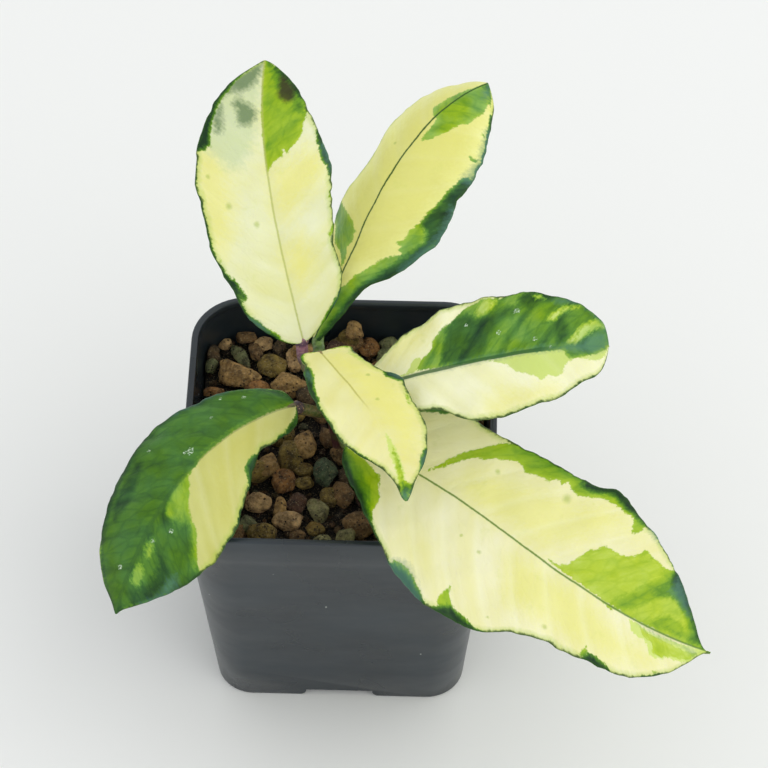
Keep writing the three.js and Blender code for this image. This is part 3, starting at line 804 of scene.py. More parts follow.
# Trims change the half-widths by a percentage, every 5 % of the way to the tip.
SHAPES = {
    "leaf_back_left": dict(
        joint=UPPER_JOINT, stalk=160, start=(-8.7, 4.5, 96.8), length=69.3, waves=5, cup=-14,
        heading=(121, 106, 85), rise=(64, 47, 15), roll=(0, 0), fold=(14, 5),
        left=(4.5, 9, 13, 15.5, 16.5, 16.5, 13, 8, 2.5), right=(4.5, 9.5, 13, 13, 14.5, 14.5, 11.5, 8, 3.5),
        trim_left=(0, 2, 3, 0, -3, -2, 0, 3, 0, -1, 1, 1, -1, 0, 0, 0, 3, 4, 3),
        trim_right=(3, 4, 2, 0, -2, -4, -2, 0, -2, -3, 0, 2, 0, -2, -1, -1, 0, 0, 0)),
    "leaf_back_right": dict(
        joint=UPPER_JOINT, stalk=70, start=(-6.5, 8.5, 93), length=77, waves=4, cup=-30,
        heading=(53, 55, 33), rise=(50, 37, -7), roll=(-25, -5), fold=(1, -14),
        left=(2, 4, 8, 14.5, 13, 13.5, 14, 13.5, 7), right=(2, 4, 7, 15, 18.5, 17.5, 16, 11.5, 6.5),
        trim_left=(0, 0, 0, 0, 0, 0, 0, 0, 2, 3, -1, -3, 0, 2, 4, 5, 2, -6, -14),
        trim_right=(0, 0, 0, -4, -5, -3, 0, 4, 3, 0, -3, -3, 0, 1, -3, -2, -3, -5, -6)),
    "leaf_right": dict(
        joint=LOWER_JOINT, stalk=5, start=(3.5, -3, 88), length=64, waves=5, cup=-8,
        heading=(-12, -1, 0), rise=(35, 22, 2), roll=(9, 6), fold=(14, 6),
        left=(3, 6, 10.5, 14, 15.5, 16, 14.5, 11, 7), right=(3.5, 6.5, 9, 10.5, 16, 17, 14, 10.5, 6.5),
        trim_left=(0, 0, 0, 0, 0, 0, 0, 2, 4, 3, 0, -3, 0, 2, 0, -3, 1, 4, -7),
        trim_right=(0, 0, 0, 5, 10, 12, 6, 3, 5, 5, 2, -1, -3, -1, -1, 2, 0, -1, 3)),
    "leaf_left": dict(
        joint=LOWER_JOINT, stalk=213, start=(-10.5, -5.5, 85.5), length=70, waves=5, cup=-19,
        heading=(203, 229, 242), rise=(7, -26, -60), roll=(-2, 3), fold=(10, -8),
        left=(5.5, 7.5, 8.5, 14.5, 18, 17.5, 13.5, 7, 1.5), right=(5.5, 8.5, 12, 15, 16, 14, 12, 7.5, 2),
        trim_left=(0, 0, 6, -1, 0, -2, 0, 1, 0, 1, 1, 1, 1, 1, 2, 3, 5, 7, 6),
        trim_right=(-2, -2, -2, 2, 0, -4, -3, 2, 0, -3, -3, 2, 4, 2, -1, -1, 2, 5, 5)),
    "leaf_centre": dict(
        joint=UPPER_JOINT, stalk=-50, start=(-4.5, 0.5, 98), length=47, waves=4, cup=-5,
        heading=(-61, -58, -82), rise=(13, -3, -28), roll=(-13, 2), fold=(17, 4),
        left=(5.5, 6.5, 7.5, 11, 10.5, 10, 7, 3, 1), right=(6, 7, 9.5, 11.5, 11.5, 10, 4.5, 2, 1),
        trim_left=(8, 8, 4, -6, -12, -8, -1, 1, -1, -2, -2, -1, 0, 0, 0, 2, 3, 2, 0),
        trim_right=(0, 0, 6, 4, 2, 0, -2, 2, -3, -3, -2, -1, 0, 0, 0, 0, 0, 0, 0)),
    "leaf_front_right": dict(
        joint=LOWER_JOINT, stalk=-72, start=(2, -13, 80.5), length=102, waves=6, cup=-4,
        heading=(-27, -35, 1), rise=(14, -11, -26), roll=(10, 19), fold=(12, 5),
        left=(6.5, 13.5, 18, 18, 20.5, 22.5, 18, 10.5, 1),
        right=(6.5, 11.5, 17.5, 24.5, 24, 16.5, 14, 9, 1.5),
        trim_left=(0, 0, 0, 2, 0, -2, 1, 3, 2, -1, 2, 7, 1, -2, 0, 0, 0, 1, 2),
        trim_right=(0, 0, 5, 5, 4, 3, 2, 4, 4, 4, 5, -2, -1, 0, 0, 2, 4, -2, -6)),
}
print(len(SHAPES), "leaf shapes")

# %% [markdown]
# ### Where the marbling lies
#
# Each green patch is drawn as an outline on its own leaf: how far along
# from base to tip, and how far across, from the midrib to the left margin
# (positive) or the right one (negative), both in per cent. The finish turns an
# outline into a ragged edge that follows the veins.

# %% Leaves: patches
PATCHES = {
    "leaf_back_left": dict(
        warm=["74 95, 70 62, 62 50, 52 52, 44 66, 38 84, 40 104, 74 104",
              "62 -2, 55 -2, 46 -3, 44 -20, 48 -46, 53 -70, 58 -88, 64 -92, 69 -70, 66 -44",
              "34 -4, 22 -4, 18 -20, 24 -50, 32 -60, 38 -40"],
        # The tint patch over the upper left of this leaf is a painted sheen: the window's pale grey-green
        # reflection on the tip.
        tint=["105 105, 105 0, 92 2, 86 4, 80 8, 74 12, 69 20, 64 34, 63 50, 66 66, 70 84, 74 105"],
        ashy=["86 55, 84 25, 82 12, 79 12, 77 22, 77 40, 80 45, 82 50, 84 60",
              "83 92, 84 80, 81 75, 78 68, 75 65, 75 75, 78 85, 80 92",
              "85 96, 88 76, 88 50, 91 24, 96 10, 104 10, 104 105, 88 105"],
        lime=["60.5 0, 63 -8, 65 -20, 65.5 -28, 68 -30, 66.5 -36, 68 -43, 70 -55, 73 -70, 76 -75, 79 -85, "
              "81 -95, 86 -104, 104 -104, 104 1, 90 1, 80 2, 70 1",
              "53 -100, 50 -95, 47 -100, 50 -110", "39.5 -100, 37.5 -94, 36 -88, 35 -91, 36 -101, 38 -110",
              "28 86, 27 92, 25.5 94, 26 88", "38.5 94, 36 98, 34 96, 36 93"],
        green=["83 -30, 84 -45, 85.5 -75, 86 -85, 85 -92, 82 -95, 79.5 -82, 80 -72, 81.5 -64, 84 -70, "
               "86 -60, "
               "88 -45, 90 -30, 92 -34, 95 -34, 99 -10, 105 -5, 105 -108, 86 -108, 84 -96, 86 -88, 85 -60, "
               "83.5 -40",
               "12 92, 10 84, 8 80, 5 82, 3 90, 0 100, 0 112, 14 112",
               "12 -90, 9 -82, 6 -80, 3 -86, 2 -95, 2 -112, 14 -112"],
        dark=["70.6 78, 72.5 81, 75 84, 78 86, 82 88, 86 87, 89 84, 93 84, 97 90, 104 88, 104 112, "
              "69.4 112, 70 92",
              "87 -90, 91 -86, 95 -70, 99 -60, 105 -50, 105 -112, 86 -112",
              "74 -96, 71 -91, 69.5 -88, 68 -90, 66.5 -88, 64 -86, 62 -87, 60 -91, 58 -94, 56 -96, 55 -102, "
              "55 -112, 74 -112",
              "67 99, 60 98, 50 98, 44 97.5, 41 97, 39 95, 37 98, 34 97, 32 94, 30 90, 28.6 84, 27 88, "
              "25.5 85, 23.5 82, 21.8 84, "
              "21.5 90, 24 94, 20 96, 17 95, 14 88, 11 85, 9 88, 6 93, 3 99, 3 112, 67 112",
              "19 -99, 16 -98, 13.5 -95, 11.5 -93, 10 -89, 8.5 -88, 6 -92, 4 -97, 4 -112, 19 -112"],
        painted_sheen=["69 -95, 66 -92, 62 -94, 58 -98, 58 -106, 69 -106", "14 -100, 11 -95, 9 -90, 9 -104", "15 92, "
              "12 88, 9 90, 10 102, 16 102"],
        spot=["84.6 -52, 85 -68, 86.4 -82, 90 -88, 94 -82, 94 -66, 91 -50, 88 -40, 86 -42"]),
    "leaf_back_right": dict(
        warm=["20 60, 40 55, 60 60, 80 60, 96 20, 96 -60, 70 -80, 50 -70, 30 -50, 18 -10"],
        lime=["70 -7, 71 -12, 73 -20, 74.5 -24, 77 -29, 80 -34, 83 -40, 84 -47, 85 -52, 88 -56, 90 -60, "
              "92 -64, "
              "95 -66, 99 -72, 104 -60, 104 10, 96 4, 90 14, 87 18, 84 17, 82 22, 81 20, 80 12, 79 6, "
              "79 -5, 75 -7",
              "48 -67, 46.5 -62, 45.4 -64, 44 -57, 43 -62, 41 -64, 39.6 -58, 38.4 -62, 39 -68, 37.4 -70, "
              "36.6 -78, 35 -84, 38 -90, 42 -88, 46 -84",
              "87.5 -92, 87 -84, 86.3 -77, 86 -84, 86.4 -96", "78 -92, 77 -83, 76.4 -78, 75.8 -84, 76 -93",
              "82.5 -95, 82 -90, 81 -95"],
        green=["93 -4, 93.5 -25, 94 -45, 95 -62, 97 -76, 105 -70, 105 10, 98 3", "84 3, 86 9, 90 12, 94 4, "
               "96 0, 90 -1",
               "36 -74, 34.5 -66, 32 -58, 29 -55, 26.5 -50, 24 -45, 22 -42, 20 -32, 19 -20, 18 -8, 16 12, "
               "-4 12, -4 -112, 38 -112, 38 -86",
               "23.5 10, 26 20, 28 40, 29 60, 31 70, 33 80, 34.5 112, 42 112, 40.5 80, 39.5 50, 38.5 30, "
               "37 20, 36 10, 34.6 15, "
               "33 7, 31.6 14, 30 18, 28 10, 26 8"],
        dark=["70 -91, 68.6 -87, 66 -84, 63 -83, 60 -81, 57 -78, 54 -73, 52 -70, 50 -68, 48 -66, 47 -71, "
              "46 -80, 43.5 -86, 40 -84, "
              "37 -82, 34 -78, 31 -76, 28 -76, 24 -80, 20 -78, 14 -72, 8 -66, -3 -62, -3 -112, 71 -112",
              "95 -84, 91 -91, 88 -93, 85 -95, 80 -97, 75 -98, 72 -97, 72 -112, 95 -112",
              "97.5 -6, 98 -30, 97.5 -56, 96 -80, 105 -80, 105 -6"],
        painted_sheen=["90 -90, 88 -88, 85 -90, 82 -88, 78 -94, 74 -90, 70 -86, 67 -86, 68 -104, 90 -104",
              "58 -95, 50 -96, 45 -95, 38 -92, 32 -94, 30 -104, 58 -106", "95 -40, 97 -60, 101 -60, "
              "101 -20, 97 -20"]),
    "leaf_right": dict(
        warm=["2 -10, 16 -10, 26 -60, 20 -96, 4 -90",
              "36 80, 30 60, 22 50, 14 60, 20 90, 34 98",
              "60 -60, 72 -70, 80 -84, 72 -96, 58 -90"],
        light=["20 9, 23 10, 25.5 30, 27 34, 29 33, 30 20, 29 10, 26 6, 22 4",
               "54 -4, 58 -9, 60 -12, 62 -15, 63.5 -20, 65.5 -28, 68 -36, 70 -41, 73 -48, 75.5 -60, "
               "76.4 -59, 77.5 -51, 79 -56, "
               "81 -58, 83 -55, 84 -40, 85 -36, 88 -34, 91 -38, 94 -46, 96.5 -56, 100 -70, 104 -60, 104 0, "
               "80 -2, 65 -3"],
        lime=["27 9, 30 30, 32 36, 34 42, 34.6 52, 35.5 56, 37.2 60, 39 67, 41 69, 43 74, 45 81, 47 86, "
              "49 91, 51 94, 55 95, 58 96, "
              "62 96, 66 100, 70 108, 105 110, 105 0, 60 2, 35 3"],
        green=["35.5 3, 36.6 14, 37.6 26, 38.4 40, 39.4 54, 40 62, 42.4 70, 44.5 80, 47 87, 49.5 86, 50 76, "
               "52 71, 55 70, 57.5 72, 59 79, "
               "60.3 88, 62.5 90, 65 86, 67 88, 68.6 84, 70.5 86, 72 96, 73 106, 74 112, 105 110, 105 -10, "
               "99 -30, 94 -30, 89 -33, "
               "86 -34, 84.6 -20, 83 -6, 70 -3, 50 -2"],
        dark=["36.5 6, 38.6 40, 40.4 62, 43 73, 46 80, 49 78, 51 70, 55 67, 58 69, 60.4 77, 63 78, 65.5 79, "
              "67.6 76, 66 68, 63 60, 60 50, "
              "58 40, 56 25, 54.6 10, 50 3, 44 2", "67 88, 69 76, 71 72, 73 76, 76 84, 78 84, 80 88, "
              "81.5 92, 81 106, 76 101, 72 99",
              "84.5 60, 86 40, 86 20, 84 6, 81 6, 80.6 20, 81 45, 82.6 60", "50 -108, 56 -102, 66 -99, "
              "80 -101, 84 -99, 92 -99.5, 96 -98, 96 -112, 48 -112",
              "42 101, 40 97, 38.5 100, 39 110"],
        spring=["54.4 8, 56.6 25, 59 40, 62 52, 65.6 56, 68 52, 70 40, 71 22, 69 8, 60 4",
                "72 70, 74.5 78, 77.5 78, 79.5 70, 79.4 52, 77 42, 74 32, 72 42, 71 58",
                "79 54, 81.5 66, 84 76, 87 86, 89.6 94, 90.2 86, 87 74, 84 66, 81 52"],
        glow=["96.6 92, 94.6 74, 92 54, 89.6 36, 87.4 20, 85.6 9, 88.6 7, 91 22, 93.6 38, 96 58, 98.4 82",
              "89.4 94, 86 86, 83 74, 80.4 64, 79 52, 80.6 52, 83 64, 86.4 78, 90 90",
              "75 96, 76.4 96, 77.6 92, 77 88, 75 88, 73.8 92", "60 91, 58.4 80, 56 73, 53.4 72, 52.4 80, "
              "54 89, 57 93"],
        painted_sheen=["86 8, 84 4, 60 3, 40 2, 22 2, 22 -4, 40 -5, 60 -5, 80 -4, 86 -10, 91 -20, 97 -30, 101 -20, "
              "101 60, 96 40, 93 22, 90 10",
              "86 100, 83 95, 81 88, 84 86, 88 96, 94 99, 100 90, 100 110, 86 110"]),
    "leaf_left": dict(
        warm=["46 60, 40 30, 30 14, 16 14, 10 40, 20 70, 34 76, 44 90, 52 90, 52 70"],
        lime=["42 2, 43.5 6, 45.4 5, 47 14, 48.6 18, 50 24, 52.4 28, 54 34, 55.6 40, 57 48, 58.4 58, "
              "60.4 64, 63.4 69, 66 74, 69 83, "
              "70.5 90, 72.5 101, 73 112, 105 112, 105 0, 60 0"],
        green=["-4 0, 20 1, 38 2, 41 4, 45 4, 50 5, 56 8, 59 14, 60 24, 60.6 34, 58 38, 57 44, 60 54, "
               "62.4 62, 64 66, 67 70, 70 80, "
               "71 88, 73 101, 74 112, 105 112, 105 -112, -4 -112"],
        dark=["66 4, 70 20, 74 40, 77 60, 81 78, 86 87, 90 95, 94 90, 94.5 70, 93 40, 91 15, 87 5, 76 3",
              "53 4, 58 6, 60 16, 61 28, 63 26, 64 14, 62 3", "72 -66, 66 -54, 60 -56, 54 -62, 50 -74, "
              "52 -84, 60 -86, 68 -84, 72 -76",
              "34 100, 32 95, 30.5 86, 29.4 78, 28 80, 26.4 79, 24.6 81, 23 88, 21.6 96, 19.6 103, "
              "19.6 112, 34 112",
              "13.6 102, 12 94, 10.4 88, 9 92, 8 96, 7.4 86, 6 79, 4.4 74, 3 67, 1 60, -3 55, -3 112, "
              "14 112",
              "99 -88, 90 -94, 80 -92, 72 -90, 62 -90, 52 -94, 44 -96, 30 -94, 10 -96, 0 -97, 0 -112, "
              "99 -112",
              "60 99, 52 99, 46 98.5, 42 98, 42 112, 60 112"],
        glow=["86.4 34, 87 22, 86.4 12, 83 8, 80.6 9, 79.4 15, 81 24, 84 32", "76 15, 73 9, 70.4 10, 70 14, "
              "73 20, 76.4 22",
              "60 14, 58 8, 54 5, 50.5 6, 50 14, 53 24, 57 30, 59.6 26"],
        spring=["87.4 48, 88.6 34, 88.4 16, 86 7, 80 6, 73 6, 69 8, 67.6 14, 70 20, 74 32, 79 44, 84 51",
                "14 -14, 12 -26, 9 -34, 6 -24, 6 -12, 9 -6, 13 -8"],
        painted_sheen=["90 104, 84 98, 80 88, 77 74, 80 70, 84 80, 88 92, 93 98",
              "6 -104, 20 -98, 34 -98, 34 -104"]),
    "leaf_centre": dict(
        warm=["4 70, 4 8, 30 6, 60 8, 78 20, 74 70, 56 90, 30 80"],
        light=["20 92, 16 84, 12 76, 9 72, 9 80, 13 90, 17 96", "63 3, 70 -9, 76 -18, 82 -29, 88 -46, "
               "92 -72, 96 -106, 104 -100, "
               "104 60, 97 60, 94 34, 90 20, 84 12, 74 8"],
        lime=["71 3, 76 -8, 81 -18, 85 -28, 89 -44, 92 -62, 94 -92, 104 -96, 104 20, 97 16, 92 8, 86 5, "
              "78 5",
              "36 84, 34.4 78, 33.4 79, 33 88", "25 -96, 22 -84, 19 -76, 15 -72, 13 -78, 14 -96", "56 92, "
              "53 86, 47 89, 50 97"],
        green=["93 -106, 91.6 -50, 88 -8, 80 0, 73 0, 73 4, 82 6, 90 10, 92 60, 93 106, 104 100, 104 -100",
               "9 96, 4 88, 0 70, -3 70, -3 112, 9 112",
               "8 -94, 5 -86, 2 -84, -3 -70, -3 -112, 9 -112"],
        # The wide dark patch along the right margin near the base is painted shade of the fold there.
        dark=["87 97, 85.4 84, 83 77, 80.4 80, 78 83, 77 96, 76.6 112, 88 112", "43 98, 41 88, 38.6 80, "
              "36 77, 33.6 79, 31.6 87, 30 101, 30 112, 44 112",
              "82 -99, 78 -97, 75 -94, 72 -90, 70 -91, 68 -96, 65 -99, 65 -112, 82 -112",
              "62 -99, 56 -98.4, 50 -98, 46 -94, 42 -98, 37 -94, 33 -88, 30 -85, 27 -84, 24 -80, 21 -76, "
              "18 -72, 15 -71, 13.2 -78, "
              "12 -92, 11.4 -112, 62 -112", "57 99, 53 96, 49 97.6, 44 98, 44 112, 57 112", "72 101, "
              "70.4 98, 69 102"],
        painted_sheen=["96 -106, 95 0, 96 106, 104 60, 104 -60", "86 96, 84 84, 80 86, 80 104", "41 98, 37 90, "
              "33 96, 35 105",
              "22 -86, 18 -83, 16 -86, 18 -96"]),
    "leaf_front_right": dict(
        warm=["28 10, 30 40, 44 66, 58 80, 66 86, 72 90, 64 60, 60 30, 54 12, 40 6",
              "84 -40, 70 -10, 56 -8, 50 -20, 56 -60, 66 -80, 78 -80, 88 -74, 88 -60"],
        light=["79 -3, 80 -12, 80.8 -21, 82.5 -25, 84.6 -26, 85.3 -38, 86 -50, 87.6 -57, 89 -58, 90.2 -53, "
               "91.4 -60, 92.6 -70, "
               "94 -82, 95 -92, 97 -104, 103 -104, 103 0, 97 -5, 93 -7, 90 -7, 87 -8, 85 -7, 82 -4"],
        lime=["20.5 4, 22.3 20, 23.3 30, 24.4 40, 25.3 50, 26.6 60, 28.2 70, 29.8 80, 31.5 90, 34.5 99, "
              "36 112, 58 112, 58 101, "
              "55.5 97, 53 91, 51 87, 49.3 90, 48.6 81, 47.6 87, 46.3 82, 45.2 74, 44.4 80, 43.3 77, "
              "41.5 75, 40.2 72, 39 76, "
              "38 80, 36.4 80, 34.6 74, 32.5 68, 31 62, 29.6 60, 28.6 55, 27.4 49, 26.2 40, 25 31, 23.4 19",
              "68 96, 68.3 88, 69 82, 69.5 80, 70.4 83, 71.2 90, 72 97, 70 104",
              "50 86, 53 80, 55 83, 57 86, 60 85, 62 87, 64 88, 66 90, 68 93, 69 112, 50 112",
              "56 3, 58.5 6, 60.5 8, 61.2 15, 62 22, 62.6 30, 63 36, 64.2 38, 64.5 43, 65.6 50, 67 51, "
              "68.5 52, 70 54, 71.5 57, "
              "73 63, 74.2 70, 74.8 78, 77 79, 79 82, 81.5 84, 83 90, 84 96, 85 104, 88 112, 104 112, "
              "104 0, 95 1, 75 1",
              "43.5 -70, 44.4 -77, 45.2 -82, 46.5 -87, 48 -90, 46 -96, 43.6 -92, 43.3 -80",
              "73.6 -76, 74.2 -84, 75 -90, 73.8 -101, 73.2 -92, 73.4 -84", "89 -94, 88.6 -88, 88 -86, "
              "88 -96",
              "-3 -20, 4 -26, 8 -30, 10.5 -38, 12.5 -36, 14 -52, 16.3 -64, 17.3 -80, 17.3 -92, 12 -96, "
              "-3 -96",
              "76 -1, 75 -5, 74 -6, 72 -1"],
        green=["80.3 42, 81.5 50, 82.5 60, 83.3 72, 83.8 85, 84.3 100, 85 112, 104 112, 104 2, 95.5 2, "
               "93.6 8, 93 20, 93.4 40, 92.6 52, "
               "91 58, 88.6 52, 86.5 46, 84 42", "86.5 10, 89 8, 92 8, 92.5 18, 90 22, 87.5 18",
               "17.6 -88, 15 -74, 11 -60, 6 -50, 2 -36, 0 -30, -3 -30, -3 -112, 20 -112, 20 -98",
               "47 101, 50 97, 53 96, 55 98, 57 101, 57 112, 47 112", "41 -95, 38 -91, 35 -88, 32 -88, "
               "30 -93, 30 -112, 41 -112"],
        dark=["52 92, 55 90, 58 91, 60 92, 62 91, 63.2 90, 64.5 91, 66 93, 68 94, 69.5 95, 71 97, 74 99, "
              "78 99, 84 98, 88 92, 88 112, 52 112",
              "84.8 74, 86 72, 88 70, 90.5 74, 93 78, 96 70, 104 50, 104 112, 85 112, 84.8 90",
              "74.2 -86, 76 -87, 78 -90, 79.5 -95, 80.8 -101, 80.8 -112, 73.8 -112, 73.9 -96",
              "45.6 -90, 46.5 -88, 48.5 -90, 50.5 -92, 53 -96, 55.5 -100, 57 -106, 57 -112, 42.5 -112, "
              "43.6 -99",
              "42.5 -98, 40.5 -96, 38 -93, 36 -91, 34 -91, 31.5 -94, 29 -99, 26 -100, 22 -98, 19 -95, "
              "17.4 -92, 13 -84, 8 -78, 3 -70, "
              "-3 -62, -3 -112, 43 -112", "9 92, 13 89, 17 90, 20 95, 24 101, 24 112, 9 112", "86 -97, "
              "88.5 -95, 90.3 -96, 90 -112, 85 -112"],
        glow=["58 4, 61 12, 62.6 26, 64 36, 66 48, 69 51, 72 56, 74 64, 76 76, 79 80, 82 80, 81 66, "
              "78.6 46, 77 30, 75 16, 73 2, 66 2",
              "78 4, 80.6 20, 82.4 36, 84.4 52, 87 62, 90 62, 92.4 52, 92.6 36, 89.6 40, 86.6 32, 84.6 18, "
              "82 6",
              "82 -6, 83.6 -22, 86 -26, 86.6 -46, 88.6 -54, 91 -50, 93 -64, 95 -80, 97 -60, 95 -40, 92 -22, "
              "88 -14, 84 -10"],
        painted_sheen=["41 -97, 38 -92, 36 -88, 34.5 -85, 32.5 -84, 31 -88, 29.5 -95, 29.5 -104, 41 -104", "85.5 66, "
              "88 68, 92 74, 93 84, 90 97, 86 97",
              "72 101, 74 96, 76 95, 77.5 99, 77 106, 72 106", "82 -3, 85 -8, 88 -10, 91 -11, 93.5 -16, "
              "95.5 -30, 96.5 -50, 95.6 -52, 94.3 -30, "
              "92.5 -13, 90 -7, 85 -4", "12 92, 16 92, 20 100, 14 106"]),
}
KINDS = ("warm", "tint", "ashy", "light", "lime", "green", "dark", "spring", "glow", "painted_sheen", "spot")
print(sum(len(marks) for leaf in PATCHES.values() for marks in leaf.values()), "patches")

# %% Leaves: from outline to depth
LONG_SCALLOP, SHORT_SCALLOP = 4, 1.7


def bend(run, along):
    """The smooth run from the first number through the second half way to the third."""
    first, middle, last = run
    return first + (4 * middle - 3 * first - last) * along + (2 * first - 4 * middle + 2 * last) * along ** 2


def midrib(shape, rows):
    """Shares along, places, and the along, left and up directions of each row."""
    step = np.linspace(0, 1, rows)
    along = (1 - np.cos(math.pi * step)) / 2
    heading, rise = (np.radians(bend(shape[key], along)) for key in ("heading", "rise"))
    roll = np.radians(between(*shape["roll"], along))[:, None]
    forward = np.stack([np.cos(rise) * np.cos(heading), np.cos(rise) * np.sin(heading), np.sin(rise)], 1)
    places = np.zeros((rows, 3))
    places[1:] = np.cumsum((forward[1:] + forward[:-1]) * np.diff(along)[:, None] * shape["length"] / 2, 0)
    level = np.stack([-np.sin(heading), np.cos(heading), 0 * heading], 1)
    upright = np.cross(forward, level)
    left = level * np.cos(roll) + upright * np.sin(roll)
    return step, along, places + shape["start"], forward, left, np.cross(forward, left)


def half_widths(shape, step, along, side):
    """The margin's distance from the midrib, with its trims and small uneven scallops."""
    widths = through((BASE_HALF_WIDTH, *shape[side], TIP_HALF_WIDTH), step)
    widths = widths * (1 + through((0, *shape["trim_" + side], 0), along) / 100)
    seed = 7.3 * shape["stalk"] + (50 if side == "left" else 0)

    def scallop(far):
        """One long and one short wave of noise, in millimetres."""
        return (0.5 * noise.noise(Vector((far / LONG_SCALLOP, seed, 0)))
                + 0.3 * noise.noise(Vector((far / SHORT_SCALLOP, seed, 5))))

    scallops = [scallop(t * shape["length"]) for t in along]
    return widths + np.array(scallops) * np.minimum(1, widths / 8)


def depth_inside(points, outline):
    """How far each point lies inside an outline, in millimetres, and below zero outside."""
    after = np.roll(outline, -1, axis=0)
    edge = after - outline
    away = points[:, None] - outline
    share = np.clip((away * edge).sum(-1) / ((edge ** 2).sum(-1) + 1e-9), 0, 1)
    gap = np.sqrt(((away - share[..., None] * edge) ** 2).sum(-1)).min(1)
    y = points[:, None, 1]
    spans = (outline[:, 1] > y) != (after[:, 1] > y)
    meet = outline[:, 0] + (y - outline[:, 1]) * edge[:, 0] / (edge[:, 1] + 1e-9)
    inside = (spans & (points[:, None, 0] < meet)).sum(1) % 2 == 1
    return np.where(inside, gap, -gap)


def flat_outline(text, lay_flat):
    """The corners of a patch with points between them, laid out flat in millimetres."""
    corners = np.array([[float(n) for n in pair.split()] for pair in text.split(",")]) / 100
    after = np.roll(corners, -1, axis=0)
    fine = np.concatenate([corners + (after - corners) * part for part in (0, 0.25, 0.5, 0.75)], 1)
    return lay_flat(*fine.reshape(-1, 2).T)


def mark_depths(marks, points, lay_flat):
    return np.max([depth_inside(points, flat_outline(mark, lay_flat)) for mark in marks], axis=0)


# %% Leaves: the blade
MARGIN_STEPS = (0, 0.08, 0.24, 0.5)
ROUNDING = 0.5
ROW_STEP, COLUMNS, FEW_COLUMNS = 0.6, 46, 30
VEIN_SPACING, VEIN_START = 9.7, 9.1
# How much thicker the knot on each stalk is, in millimetres.
KNOTS = {"leaf_back_left": 0.3, "leaf_left": 0.35, "leaf_centre": 0.1,
         "leaf_back_right": 0, "leaf_right": 0, "leaf_front_right": 0}


def side_vein(across, along):
    """How far along the run of side veins a point lies, and its distance from the nearest one."""
    past = along - 0.6 * across - 0.012 * across ** 2 - VEIN_START
    return past, abs((past / VEIN_SPACING + 0.5) % 1 - 0.5) * VEIN_SPACING


